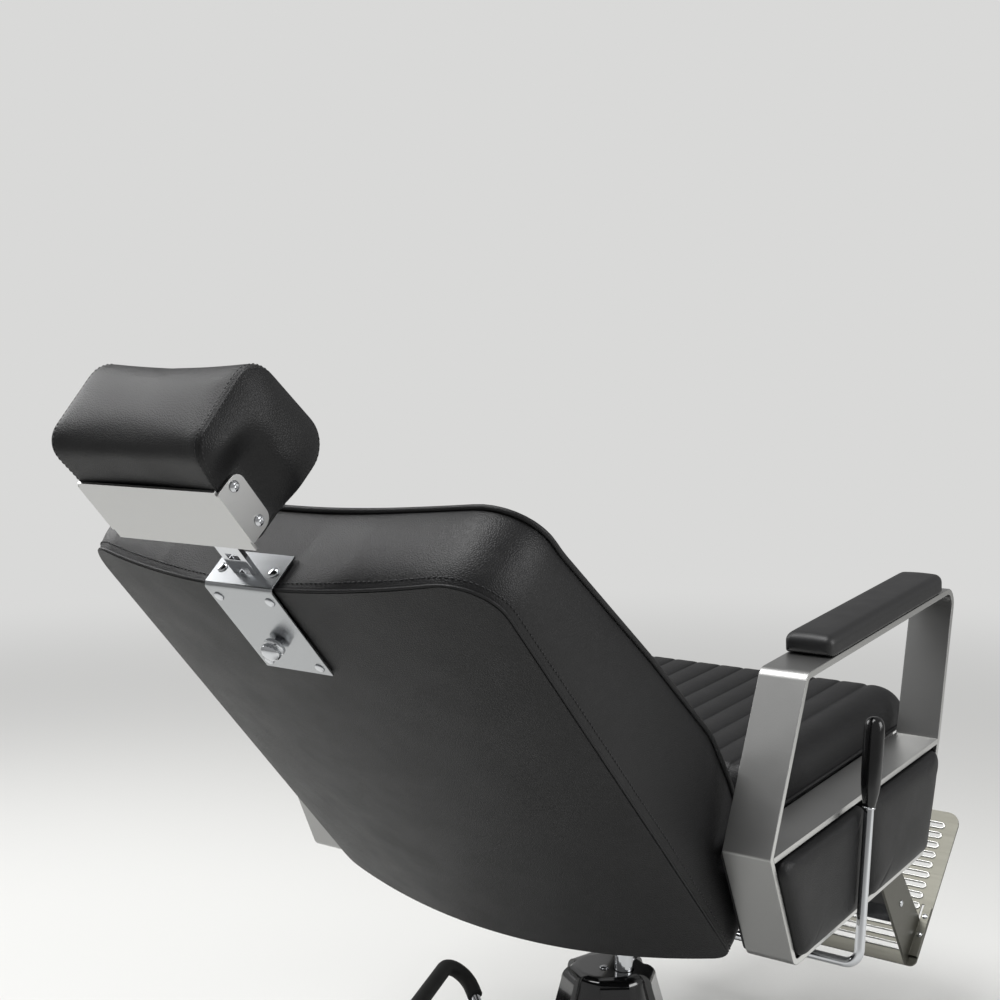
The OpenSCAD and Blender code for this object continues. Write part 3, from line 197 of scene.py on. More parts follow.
# The arms are flat steel, blasted with fine bead and satin plated: an even, directionless soft shine.
tree, shader, where = new_material("satin_steel", "#9C9C9B", Metallic=1.0, Roughness=0.38)
vary(tree, shader, where, "Roughness", 60 * MM, 0.36, 0.40)
ripple(tree, shader, where, 1.5 * PIXEL, 0.10 * MM, 0.5)

# Zinc plate on bolts and pins is duller, with a faint mottle.
tree, shader, where = new_material("zinc_steel", "#A9ABB0", Metallic=1.0, Roughness=0.38)
tint(tree, shader, where, 5 * MM, "#9A9CA1", "#B4B6BA")
vary(tree, shader, where, "Roughness", 4 * MM, 0.32, 0.46)

# %% Paints, plastics, rubber and wood
# The base is cast iron under thick gloss enamel: casting waviness shows in the reflections.
tree, shader, where = new_material("gloss_enamel", "#09090A", Roughness=0.14, Coat_Weight=0.7,
                                   Coat_Roughness=0.05, Specular_IOR_Level=0.55)
ripple(tree, shader, where, 14 * MM, 0.25 * MM, 0.35)
vary(tree, shader, where, "Roughness", 40 * MM, 0.10, 0.20)

# Frame parts under the seat are powder coated: a fine orange peel and little shine.
tree, shader, where = new_material("black_paint", "#151516", Roughness=0.45)
ripple(tree, shader, where, 2.2 * MM, 0.08 * MM, 0.6)
vary(tree, shader, where, "Roughness", 20 * MM, 0.40, 0.52)

# Rubber is moulded and matte, and dust makes it greyer in blotches.
tree, shader, where = new_material("rubber", "#121212", Roughness=0.68, Specular_IOR_Level=0.35)
tint(tree, shader, where, 18 * MM, "#111111", "#191918")
ripple(tree, shader, where, 1.8 * MM, 0.10 * MM, 0.7, 3.0)

# The grip is injection moulded and polished in the tool.
tree, shader, where = new_material("gloss_plastic", "#0B0B0C", Roughness=0.16, Specular_IOR_Level=0.5)
vary(tree, shader, where, "Roughness", 10 * MM, 0.12, 0.22)

# Moulded armrest skin: self-skinning foam, smooth with a dull, very fine texture.
tree, shader, where = new_material("skin_foam", "#141415", Roughness=0.46, Specular_IOR_Level=0.45)
ripple(tree, shader, where, 1.3 * PIXEL, 0.07 * MM, 0.6)
vary(tree, shader, where, "Roughness", 30 * MM, 0.42, 0.52)


def ply(name, dark, light, roughness):
    """Rotary-cut birch face: long grain along X, with rings drawn from a stretched wave."""
    tree, shader, where = new_material(name, light, Roughness=roughness)
    grain = put(tree, "ShaderNodeMapping", {"Vector": where, "Scale": (2.0, 60.0, 60.0)})
    rings = put(tree, "ShaderNodeTexWave", {"Vector": grain.outputs["Vector"], "Scale": 1.0, "Distortion": 7.0,
                                            "Detail": 3.0}, bands_direction="Y")
    ramp = put(tree, "ShaderNodeValToRGB", {"Fac": rings.outputs["Color"]})
    ramp.color_ramp.elements[0].color = linear(dark)
    ramp.color_ramp.elements[1].color = linear(light)
    tree.links.new(ramp.outputs["Color"], shader.inputs["Base Color"])
    bump(tree, shader, rings.outputs["Fac"], 0.1 * MM, 0.5)


ply("plywood", "#A78656", "#C5A673", 0.62)
ply("black_paint_wood", "#121213", "#1A1A1B", 0.50)

# Polyester sewing thread, twisted: it sinks into the vinyl and reads as a row of small dark marks.
tree, shader, where = new_material("thread", "#1B1B1D", Roughness=0.45)
twist = put(tree, "ShaderNodeTexWave", {"Vector": where, "Scale": 1 / (2 * MM)})
bump(tree, shader, twist.outputs["Fac"], 0.1 * MM, 0.5)
print(len(MATERIALS), "finishes made")

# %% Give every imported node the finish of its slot
for name, node in frame["nodes"].items():
    node.data.materials.clear()
    node.data.materials.append(MATERIALS[SLOT[name]])

# %% [markdown]
# ## Camera and light
# The photograph was taken from behind the sitter's right shoulder with a short telephoto lens. The camera's
# place was found from the vanishing lines of the seat, arms and backrest, and it looks almost level.
# A plain pale floor and a pale world stand for a studio, and three large soft lamps draw the edges.

# %% Camera
SENSOR = 36.0
LENS = 54.0
CAMERA_AT = Vector((-0.950, 1.5424, 0.9759))
HEADING = math.radians(-53.5)
PITCH = math.radians(-4.95)
camera = added("camera", bpy.data.cameras.new("camera"))
camera.data.lens = LENS
camera.data.sensor_width = SENSOR
camera.location = CAMERA_AT
look = Vector((math.cos(PITCH) * math.cos(HEADING), math.cos(PITCH) * math.sin(HEADING), math.sin(PITCH)))
camera.rotation_euler = look.to_track_quat("-Z", "Y").to_euler()
scene.camera = camera
scene.view_settings.view_transform = "Standard"


# %% Floor, world and lamps
FLOOR_HALF = 30.0
floor_mesh = bpy.data.meshes.new("floor")
floor_mesh.from_pydata([(x, y, 0) for x, y in ((-FLOOR_HALF, -FLOOR_HALF), (FLOOR_HALF, -FLOOR_HALF),
                                               (FLOOR_HALF, FLOOR_HALF), (-FLOOR_HALF, FLOOR_HALF))],
                       [], [(0, 1, 2, 3)])
floor = added("floor", floor_mesh)
tree, shader, where = new_material("studio_floor", "#DCDCDA", Roughness=0.8, Specular_IOR_Level=0.2)
vary(tree, shader, where, "Roughness", 1.5, 0.75, 0.85)
BACKDROP = "#D9D9D8"
away = put(tree, "ShaderNodeVectorMath", {0: where}, operation="LENGTH")
fade = put(tree, "ShaderNodeMapRange", {"Value": away.outputs["Value"], "From Min": 1.2, "From Max": 5.0},
           interpolation_type="SMOOTHSTEP")
eye = put(tree, "ShaderNodeLightPath")
paper = put(tree, "ShaderNodeEmission", {"Color": linear(BACKDROP)})
both = put(tree, "ShaderNodeMath", {0: fade.outputs["Result"], 1: eye.outputs["Is Camera Ray"]},
           operation="MULTIPLY")
sweep = put(tree, "ShaderNodeMixShader", {0: both.outputs["Value"], 1: shader.outputs["BSDF"],
                                          2: paper.outputs["Emission"]})
tree.links.new(sweep.outputs["Shader"], tree.nodes["Material Output"].inputs["Surface"])
floor_mesh.materials.append(MATERIALS["studio_floor"])

world = bpy.data.worlds.new("studio")
world.use_nodes = True
scene.world = world
air = world.node_tree
ray = put(air, "ShaderNodeLightPath")
WORLD_LIGHT = 0.42
lit = air.nodes["Background"]
lit.inputs["Color"].default_value = linear("#F2F2F2")
lit.inputs["Strength"].default_value = WORLD_LIGHT
backdrop = put(air, "ShaderNodeBackground", {"Color": linear(BACKDROP), "Strength": 1.0})
blend_air = put(air, "ShaderNodeMixShader", {0: ray.outputs["Is Camera Ray"], 1: lit.outputs["Background"],
                                             2: backdrop.outputs["Background"]})
air.links.new(blend_air.outputs["Shader"], air.nodes["World Output"].inputs["Surface"])


def softbox(name, at, aim, size, power):
    """A large square lamp that faces a point."""
    lamp = added(name, bpy.data.lights.new(name, "AREA"))
    lamp.data.shape = "SQUARE"
    lamp.data.size = size
    lamp.data.energy = power
    lamp.location = at
    lamp.rotation_euler = (Vector(aim) - Vector(at)).to_track_quat("-Z", "Y").to_euler()


CHAIR_MIDDLE = (0, 0.1, 0.65)
softbox("key_lamp", (0.3, 0.9, 3.0), CHAIR_MIDDLE, 1.8, 75)
softbox("side_lamp", (-2.8, -0.6, 1.6), CHAIR_MIDDLE, 1.6, 45)
softbox("rim_lamp", (2.4, 0.4, 2.0), CHAIR_MIDDLE, 1.4, 30)
print("camera at", [round(v, 3) for v in CAMERA_AT], "lens", LENS)

# %% [markdown]
# ## Frames of the moving parts
# The seat is tipped back four degrees about the lift rod, and the backrest leans further. Both are drawn in
# their own frame, as on the real chair's drawing, and then turned into place.

# %% Frames
SEAT_TILT = math.radians(4.0)
SEAT_AT = np.array([0.0, 0.0, 0.526])
HINGE = np.array(JOINT["recline"]["pos_m"])
BACK_UP = np.array(JOINT["headrest_slide"]["axis"])
BACK_OUT = np.array(JOINT["clamp_turn"]["axis"])
LEG_AT = np.array(JOINT["leg_rest_raise"]["pos_m"])


def on_seat(x, y, z):
    """A point of the seat's frame, whose z = 0 is the top of the arm's cross bar."""
    c, s = math.cos(SEAT_TILT), math.sin(SEAT_TILT)
    return SEAT_AT + np.array([x, y * c + z * s, -y * s + z * c])


def on_back(x, out, up):
    """A point of the backrest's frame: across, out behind the recline axis, and up along the back."""
    return HINGE + np.array([x, 0.0, 0.0]) + out * BACK_OUT + up * BACK_UP


def on_leg(turn, x, y, z, at=(0.0, 0.0)):
    """A point of a leg-rest frame that is turned about X, its origin beside the leg rest's axle."""
    c, s = math.cos(turn), math.sin(turn)
    return LEG_AT + np.array([x, at[0] + y * c - z * s, at[1] + y * s + z * c])


# %% Mesh helpers
def new_piece(name, points, faces, finish):
    """A closed mesh object from points and faces, its faces turned outwards."""
    mesh = bpy.data.meshes.new(name)
    mesh.from_pydata([tuple(float(v) for v in p) for p in points], [], faces)
    work = bmesh.new()
    work.from_mesh(mesh)
    bmesh.ops.recalc_face_normals(work, faces=work.faces)
    for face in work.faces:
        face.smooth = True
    work.to_mesh(mesh)
    work.free()
    mesh.materials.append(MATERIALS[finish])
    return added(name, mesh)


def settle(obj, body, slot, *nodes):
    """Let a finished piece ride on its body and stand for the nodes it replaces; slot is not used."""
    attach(obj, body)
    if nodes:
        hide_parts(*nodes)
    return obj


def baked(obj):
    """The plain mesh that an object's modifiers give."""
    bpy.context.view_layer.update()
    seen_by = bpy.context.evaluated_depsgraph_get()
    return bpy.data.meshes.new_from_object(obj.evaluated_get(seen_by), depsgraph=seen_by)


def applied(obj):
    """Turn an object's modifiers into plain mesh."""
    mesh = baked(obj)
    obj.modifiers.clear()
    old = obj.data
    obj.data = mesh
    bpy.data.meshes.remove(old)
    mesh.name = obj.name
    return obj


def subdivided(obj, levels=1):
    """One smooth subdivision, applied."""
    modifier = obj.modifiers.new("smooth", "SUBSURF")
    modifier.levels = modifier.render_levels = levels
    applied(obj)
    obj.data.polygons.foreach_set("use_smooth", [True] * len(obj.data.polygons))
    return obj


def bridge(low, high):
    """Faces between two closed rows of equally many points."""
    n = len(low)
    return [(low[i], low[(i + 1) % n], high[(i + 1) % n], high[i]) for i in range(n)]


def skin(n, count, start=0):
    """Faces between closed rows of n points, numbered one row after another."""
    rows = [range(start + j * n, start + (j + 1) * n) for j in range(count)]
    return [face for low, high in zip(rows, rows[1:]) for face in bridge(low, high)]


def grid(wide, deep):
    """Faces of a sheet of points, numbered one row after another."""
    return [(r * wide + c, r * wide + c + 1, (r + 1) * wide + c + 1, (r + 1) * wide + c)
            for r in range(deep - 1) for c in range(wide - 1)]


def rim_of(wide, deep):
    """Numbers of the points round the edge of such a sheet."""
    return ([*range(wide)] + [r * wide + wide - 1 for r in range(1, deep)]
            + [(deep - 1) * wide + c for c in range(wide - 2, -1, -1)] + [r * wide for r in range(deep - 2, 0, -1)])


def stacked(name, rings, finish):
    """A closed solid through rings, with a fan to the middle of the first and last."""
    n = len(rings[0])
    points = [p for ring in rings for p in ring]
    faces = skin(n, len(rings))
    for ring, start in ((rings[0], 0), (rings[-1], (len(rings) - 1) * n)):
        middle = len(points)
        points.append(np.mean(ring, axis=0))
        faces += [(start + i, start + (i + 1) % n, middle) for i in range(n)]
    return new_piece(name, points, faces, finish)


def rounded(corners, radii, steps=6, runs=1):
    """An outline in 2D with round corners, its straight sides cut into equal runs."""
    corners = [np.array(c, float) for c in corners]
    arcs = []
    for i, at in enumerate(corners):
        a, b = corners[i - 1] - at, corners[(i + 1) % len(corners)] - at
        a, b = a / np.linalg.norm(a), b / np.linalg.norm(b)
        half = math.acos(np.clip(a @ b, -1, 1)) / 2
        centre = at + (a + b) / np.linalg.norm(a + b) * radii[i] / math.sin(half)
        first, last = at + a * radii[i] / math.tan(half) - centre, at + b * radii[i] / math.tan(half) - centre
        start = math.atan2(first[1], first[0])
        sweep = (math.atan2(last[1], last[0]) - start + math.pi) % (2 * math.pi) - math.pi
        arcs.append([centre + radii[i] * np.array([math.cos(start + sweep * k / steps),
                                                   math.sin(start + sweep * k / steps)])
                     for k in range(steps + 1)])
    outline = []
    for i, arc in enumerate(arcs):
        following = arcs[(i + 1) % len(arcs)][0]
        outline += arc + [arc[-1] + (following - arc[-1]) * k / runs for k in range(1, runs)]
    return np.array(outline)


def drawn_in(corners, by):
    """An outline's corners, moved in by a distance from every side; corners run anticlockwise."""
    corners = [np.array(c, float) for c in corners]
    result = []
    for i, at in enumerate(corners):
        a, b = at - corners[i - 1], corners[(i + 1) % len(corners)] - at
        m, n = [np.array([-v[1], v[0]]) / np.linalg.norm(v) for v in (a, b)]
        result.append(at + (m + n) * by / (1 + m @ n))
    return result


# %% Padding with Cloth
def puff(obj, pinned, cap, pressure=4.0, frames=18):
    """Fill a sewn cover: Cloth with inner pressure lifts it between its pinned seams, up to a cap."""
    count = len(obj.data.vertices)
    before = np.empty(count * 3)
    obj.data.vertices.foreach_get("co", before)
    seams = obj.vertex_groups.new(name="seams")
    seams.add([int(i) for i in pinned], 1.0, "REPLACE")
    cloth = obj.modifiers.new("puff", "CLOTH")
    cloth.settings.use_pressure = True
    cloth.settings.uniform_pressure_force = pressure
    cloth.settings.vertex_group_mass = "seams"
    cloth.settings.effector_weights.gravity = 0
    cloth.settings.quality = 5
    for step in range(1, frames + 1):
        scene.frame_set(step)
    seen_by = bpy.context.evaluated_depsgraph_get()
    puffed = obj.evaluated_get(seen_by).data
    after = np.empty(count * 3)
    puffed.vertices.foreach_get("co", after)
    move = (after - before).reshape(-1, 3)
    length = np.linalg.norm(move, axis=1)
    share = np.tanh(length / cap) * cap / np.maximum(length, 1e-9)
    obj.modifiers.remove(cloth)
    obj.vertex_groups.remove(seams)
    obj.data.vertices.foreach_set("co", (before.reshape(-1, 3) + move * share[:, None]).ravel())
    obj.data.update()
    scene.frame_set(1)
    print(obj.name, "puffed by at most", round(float((length * share).max()) * 1000, 1), "mm")


# %% [markdown]
# ## Sewing kit
# Piping is a cord wrapped in vinyl and sewn into a seam, and a stitch is a short loop of thread. Both follow
# a seam, so one tree sweeps a round section along a path and another sets short threads along it. Screws
# repeat too: one tree sets a domed head on every point, turned along that point's normal.

# %% Geometry trees
def new_tree(name, sizes):
    """A geometry tree with a mesh input, named sizes and a finish."""
    tree = bpy.data.node_groups.new(name, "GeometryNodeTree")
    tree.interface.new_socket("Geometry", in_out="INPUT", socket_type="NodeSocketGeometry")
    for label, value in sizes.items():
        kind = "NodeSocketInt" if isinstance(value, int) else "NodeSocketFloat"
        tree.interface.new_socket(label, in_out="INPUT", socket_type=kind).default_value = value
    tree.interface.new_socket("Finish", in_out="INPUT", socket_type="NodeSocketMaterial")
    tree.interface.new_socket("Geometry", in_out="OUTPUT", socket_type="NodeSocketGeometry")
    return tree, put(tree, "NodeGroupInput").outputs


def close_tree(tree, given, geometry):
    """End a tree with Realize Instances, smooth shading and Set Material."""
    real = put(tree, "GeometryNodeRealizeInstances", {"Geometry": geometry})
    smooth = put(tree, "GeometryNodeSetShadeSmooth", {"Geometry": real.outputs["Geometry"]})
    done = put(tree, "GeometryNodeSetMaterial", {"Geometry": smooth.outputs["Geometry"], "Material": given["Finish"]})
    put(tree, "NodeGroupOutput", {"Geometry": done.outputs["Geometry"]})


def followed(tree, given, spacing):
    """The path that comes in, as a curve cut evenly."""
    path = put(tree, "GeometryNodeMeshToCurve", {"Mesh": given["Geometry"]})
    return put(tree, "GeometryNodeResampleCurve", {"Curve": path.outputs["Curve"], "Length": given[spacing]},
               mode="LENGTH").outputs["Curve"]


PIPING, given = new_tree("piping", {"Radius": 2.5 * MM, "Spacing": 4 * MM, "Sides": 12})
section = put(PIPING, "GeometryNodeCurvePrimitiveCircle", {"Radius": given["Radius"], "Resolution": given["Sides"]})
cord = put(PIPING, "GeometryNodeCurveToMesh", {"Curve": followed(PIPING, given, "Spacing"),
                                               "Profile Curve": section.outputs["Curve"], "Fill Caps": True})
close_tree(PIPING, given, cord.outputs["Mesh"])

STITCHES, given = new_tree("stitches", {"Length": 3.6 * MM, "Pitch": 5 * MM, "Thickness": 0.8 * MM})
thread = put(STITCHES, "GeometryNodeMeshUVSphere", {"Segments": 6, "Rings": 4, "Radius": 0.5})
along = put(STITCHES, "GeometryNodeInputTangent")
lined_up = put(STITCHES, "FunctionNodeAlignRotationToVector", {"Vector": along.outputs["Tangent"]}, axis="X")
loop_size = put(STITCHES, "ShaderNodeCombineXYZ", {"X": given["Length"], "Y": given["Thickness"],
                                                  "Z": given["Thickness"]})
loops = put(STITCHES, "GeometryNodeInstanceOnPoints", {"Points": followed(STITCHES, given, "Pitch"),
                                                       "Instance": thread.outputs["Mesh"],
                                                       "Rotation": lined_up.outputs["Rotation"],
                                                       "Scale": loop_size.outputs["Vector"]})
close_tree(STITCHES, given, loops.outputs["Instances"])


def grown(name, tree, source, finish, **sizes):
    """Run a tree on a source object and keep its result as a plain mesh."""
    modifier = source.modifiers.new(tree.name, "NODES")
    modifier.node_group = tree
    sockets = {item.name: item.identifier for item in tree.interface.items_tree if item.in_out == "INPUT"}
    modifier[sockets["Finish"]] = MATERIALS[finish]
    for label, value in sizes.items():
        modifier[sockets[label]] = value
    mesh = baked(source)
    mesh.name = name
    old = source.data
    bpy.data.objects.remove(source)
    bpy.data.meshes.remove(old)
    return added(name, mesh)


def wire(name, points, edges):
    """Bare points and edges that a tree can follow."""
    mesh = bpy.data.meshes.new(name)
    mesh.from_pydata([tuple(float(v) for v in p) for p in points], edges, [])
    return added(name, mesh)


def path_of(points, closed=True):
    n = len(points)
    return wire("path", points, [(i, (i + 1) % n) for i in range(n if closed else n - 1)])


def piping(name, points, radius, finish="black_vinyl", closed=True, spacing=4 * MM, sides=12):
    return grown(name, PIPING, path_of(points, closed), finish, Radius=radius, Spacing=spacing, Sides=sides)


def stitching(name, points, length=3.6 * MM, pitch=5.2 * MM, thickness=0.9 * MM):
    return grown(name, STITCHES, path_of(points), "thread", Length=length, Pitch=pitch, Thickness=thickness)


# %% [markdown]
# ## Seat cushion
# The real cushion is moulded foam under sewn vinyl: thirteen channels run from back to front between two
# plain bolsters, and piping closes the cover along its lower edge. Its points are laid out along the seams,
# so that every seam is a row of points, and Cloth then fills the channels between the pinned seams.

# %% Seat cushion sizes
CHANNEL = 34 * MM
SEAT_CHANNELS = 13
SEAT_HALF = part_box("seat_cushion")[1].x
SEAT_REAR, SEAT_FRONT = 158 * MM, -240 * MM
SEAT_TOP, SEAT_WELT, SEAT_UNDER = 47 * MM, 2.5 * MM, -9.7 * MM
REAR_ROLL, FRONT_ROLL = 20 * MM, 34 * MM
REAR_CORNER, FRONT_CORNER = 40 * MM, 24 * MM
GROOVE = 2.6 * MM
# Columns of one channel, as shares of its width and of the seam's depth
SEAM_SHARES = [(0.0, 1.0), (0.035, 0.55), (0.08, 0.12), (0.2, 0.0), (0.35, 0.0), (0.5, 0.0), (0.65, 0.0), (0.8, 0.0),
               (0.92, 0.12), (0.965, 0.55)]


def sewn_columns(channels, bolster_steps):
    """Columns across a sewn cushion: place across in channels, or as a share of the bolster, and seam depth."""
    half = channels / 2
    middle = [(k + place - half, None, depth) for k in range(channels) for place, depth in SEAM_SHARES]
    middle.append((half, None, 1.0))
    shares = [math.sin(math.pi / 2 * k / bolster_steps) for k in range(1, bolster_steps + 1)]
    left = [(-half, -share, 0.0) for share in reversed(shares)]
    right = [(half, share, 0.0) for share in shares]
    return left + middle + right


def corner_half(y, half, low, high, low_round, high_round):
    """Half width of a rectangle with round corners, at a place along it."""
    for edge, r in ((y - low, low_round), (high - y, high_round)):
        if edge < r:
            half -= r - math.sqrt(max(0.0, r * r - (r - edge) ** 2))
    return half


# %% Seat cushion cover
columns = sewn_columns(SEAT_CHANNELS, 10)
roll_angles = [math.pi / 2 * k / 8 for k in range(9)]
TOP_ROWS, FRONT_ROWS = 44, 14
front_angles = [math.pi / 2 * k / FRONT_ROWS for k in range(FRONT_ROWS + 1)]
flat_run = SEAT_REAR - REAR_ROLL - SEAT_FRONT - FRONT_ROLL
rows = [(SEAT_REAR - REAR_ROLL * (1 - math.sin(a)), math.cos(a)) for a in reversed(roll_angles)]
rows += [(SEAT_REAR - REAR_ROLL - flat_run * k / TOP_ROWS, 1.0) for k in range(1, TOP_ROWS)]
rows += [(SEAT_FRONT + FRONT_ROLL * (1 - math.sin(a)), math.cos(a)) for a in front_angles]
half_channels = SEAT_CHANNELS / 2 * CHANNEL
points, flat, pinned = [], [], []
for y, lift in rows:
    width = corner_half(y, SEAT_HALF, SEAT_FRONT, SEAT_REAR, FRONT_CORNER, REAR_CORNER)
    for place, share, seam in columns:
        x = place * CHANNEL
        height = 1.0
        if share is not None:
            x = math.copysign(half_channels + (width - half_channels) * abs(share), share)
            height = (1 - abs(share) ** 3.2) ** (1 / 2.2)
        rise = (SEAT_TOP - SEAT_WELT) * height * lift - GROOVE * seam * max(lift, 0.3)
        if seam > 0.99 or height * lift < 0.02:
            pinned.append(len(points))
        lie = y + (GROOVE * seam * (1 - lift) if y > 0 else -GROOVE * seam * (1 - lift)) * -1
        points.append(on_seat(x, lie, SEAT_WELT + max(rise, 0.0)))
        flat.append(on_seat(x, lie, SEAT_UNDER))
wide, deep = len(columns), len(rows)
rim = rim_of(wide, deep)
rim_points = np.array([points[i] for i in rim])
seat_middle = rim_points.mean(axis=0)
seat_down = on_seat(0, 0, -1) - on_seat(0, 0, 0)
TUCK_SHARE = 0.035
tuck_start = len(points)
points += [p + seat_down * 4 * MM for p in rim_points]
under_start = len(points)
points += [p + (seat_middle + seat_down * (SEAT_WELT - SEAT_UNDER) - p) * TUCK_SHARE for p in flat]
pinned += range(tuck_start, len(points))
tuck = range(tuck_start, under_start)
faces = grid(wide, deep) + bridge(rim, tuck) + bridge(tuck, [under_start + i for i in rim])
faces += [tuple(under_start + i for i in (a, d, c, b)) for a, b, c, d in grid(wide, deep)]
seat = new_piece("seat_cushion_cover", points, faces, "black_vinyl")
puff(seat, pinned, 2.2 * MM)
settle(subdivided(seat), "seat", "black_vinyl", "seat_cushion")
settle(piping("seat_piping", [p + seat_down * 1 * MM for p in rim_points], 2.6 * MM), "seat", "black_vinyl")
print("seat cover", len(seat.data.polygons), "faces; channels of", CHANNEL * 1000, "mm")

# %% [markdown]
# ## Backrest
# The real backrest is a curved board with foam in front, a wide side band of grained vinyl, and a taut, crowned
# rear panel. A welt and a row of stitches join the band to the panel, and piping joins it to the front.
# Front and rear are two sheets over the same outline, and the band's rings close the space between them.

# %% Backrest sizes
BACK_FOOT, BACK_TOP = -80 * MM, 507 * MM
FOOT_HALF, TOP_HALF = 262 * MM, 246 * MM
FOOT_ROUND, TOP_ROUND = 18 * MM, 50 * MM
REAR_OUT = 99.6 * MM
CROWN = 36 * MM
CROWN_RADIUS = (TOP_HALF ** 2 + CROWN ** 2) / (2 * CROWN)
LUMBAR = 70 * MM
WRAP = 24 * MM
BACK_CHANNELS = 9
FRONT_SHARES = [(-1, -0.38), (-0.5, 0.1), (0, 0.59), (0.12, 0.87), (0.25, 1), (0.53, 0.73), (0.88, 0.3), (1, 0.28)]
front_up = [up * (-BACK_FOOT if up < 0 else BACK_TOP) for up, _ in FRONT_SHARES]
front_lead = [lead * LUMBAR for _, lead in FRONT_SHARES]
fine_up = np.linspace(BACK_FOOT - 40 * MM, BACK_TOP + 40 * MM, 400)
soft = np.hanning(25) / np.hanning(25).sum()
fine_lead = np.convolve(np.pad(np.interp(fine_up, front_up, front_lead), 12, mode="edge"), soft, mode="valid")


def side_half(up):
    return FOOT_HALF + (TOP_HALF - FOOT_HALF) * (up - BACK_FOOT) / (BACK_TOP - BACK_FOOT)


def back_half(up):
    return side_half(up) - FOOT_HALF + corner_half(up, FOOT_HALF, BACK_FOOT, BACK_TOP, FOOT_ROUND, TOP_ROUND)


def front_out(x, up):
    """How far the front of the cushion lies behind the recline axis; it swells away from its edges."""
    edge = min(back_half(up) - abs(x), up - BACK_FOOT, BACK_TOP - up)
    swell = 8 * MM * (1 - math.exp(-max(edge, 0.0) / (30 * MM)))
    return -np.interp(up, fine_up, fine_lead) + WRAP * (1 - (x / side_half(up)) ** 2) - swell


def rear_out(x):
    return REAR_OUT - (CROWN_RADIUS - math.sqrt(CROWN_RADIUS ** 2 - x * x))


# %% Backrest cover
columns = sewn_columns(BACK_CHANNELS, 12)
quarter = [math.pi / 2 * k / 6 for k in range(7)]
ups = [BACK_FOOT + FOOT_ROUND * (1 - math.cos(a)) for a in quarter]
ups += list(np.linspace(BACK_FOOT + FOOT_ROUND, BACK_TOP - TOP_ROUND, 52)[1:-1])
ups += [BACK_TOP - TOP_ROUND * (1 - math.cos(a)) for a in reversed([math.pi / 2 * k / 9 for k in range(10)])]
SEWN_FROM, SEWN_TO = 40 * MM, 470 * MM
half_channels = BACK_CHANNELS / 2 * CHANNEL
wide, deep = len(columns), len(ups)
front, rear, flat, pinned = [], [], [], []
for up in ups:
    width = back_half(up)
    for place, share, seam in columns:
        x = place * CHANNEL
        if share is not None:
            x = math.copysign(half_channels + (width - half_channels) * abs(share), share)
        fade = min(1.0, max(0.0, (up - SEWN_FROM) / (15 * MM)), max(0.0, (SEWN_TO - up) / (15 * MM)))
        edge_seam = max(0.0, 1 - abs(up - SEWN_TO) / (8 * MM)) if abs(x) <= half_channels else 0.0
        if (seam > 0.99 and fade > 0) or (edge_seam > 0.9):
            pinned.append(len(front))
        flat.append((x, up))
        front.append(on_back(x, front_out(x, up) + GROOVE * max(seam * fade, edge_seam), up))
        rear.append(on_back(x, rear_out(x), up))
rim = rim_of(wide, deep)
n = len(rim)
outline = np.array([flat[i] for i in rim])
way = np.roll(outline, -1, axis=0) - np.roll(outline, 1, axis=0)
outward = np.stack([way[:, 1], -way[:, 0]], axis=1) / np.linalg.norm(way, axis=1)[:, None]
sheet = grid(wide, deep)
pinned += rim

BAND_RINGS = 18
PANEL_EDGE = 2.5 * MM
BAND_SWELL = ([BACK_FOOT, 0.15, 0.32, BACK_TOP], [2.0 * MM, 2.0 * MM, 5.5 * MM, 6.5 * MM])
points = list(front)
band_start = len(points)
for ring in range(BAND_RINGS):
    v = (ring + 0.5) / BAND_RINGS
    for (x, up), (nx, nz) in zip(outline, outward):
        ahead, behind = front_out(x, up), rear_out(x) - 1.5 * MM
        swell = np.interp(up, *BAND_SWELL) * (1 - abs(2 * v - 1) ** 3)
        if abs(x) < 110 * MM and up > BACK_TOP - 1 * MM:
            swell *= max(0.0, (abs(x) - 46 * MM) / (64 * MM))
            pinned.append(len(points))
        out = ahead + (behind - ahead) * v
        points.append(on_back(x + nx * (swell - 1 * MM), out, up + nz * (swell - 1 * MM)))
rear_start = len(points)
where_rim = {i: k for k, i in enumerate(rim)}
for i, p in enumerate(rear):
    if i in where_rim:
        nx, nz = outward[where_rim[i]]
        p = p - np.array([nx, 0, 0]) * PANEL_EDGE - BACK_UP * nz * PANEL_EDGE
    points.append(p)
    pinned.append(rear_start + i)
faces = sheet + bridge(rim, range(band_start, band_start + n))
faces += skin(n, BAND_RINGS, band_start)
last = rear_start - n
faces += bridge(range(last, rear_start), [rear_start + i for i in rim])
band_faces = range(len(sheet), len(faces))
faces += [tuple(rear_start + i for i in reversed(face)) for face in sheet]
back = new_piece("backrest_cover", points, faces, "black_vinyl")
back.data.materials.append(MATERIALS["grained_vinyl"])
back.data.materials.append(MATERIALS["matte_vinyl"])
for i, face in enumerate(back.data.polygons):
    face.material_index = 0 if i < band_faces.start else 1 if i < band_faces.stop else 2
puff(back, pinned, 3 * MM)

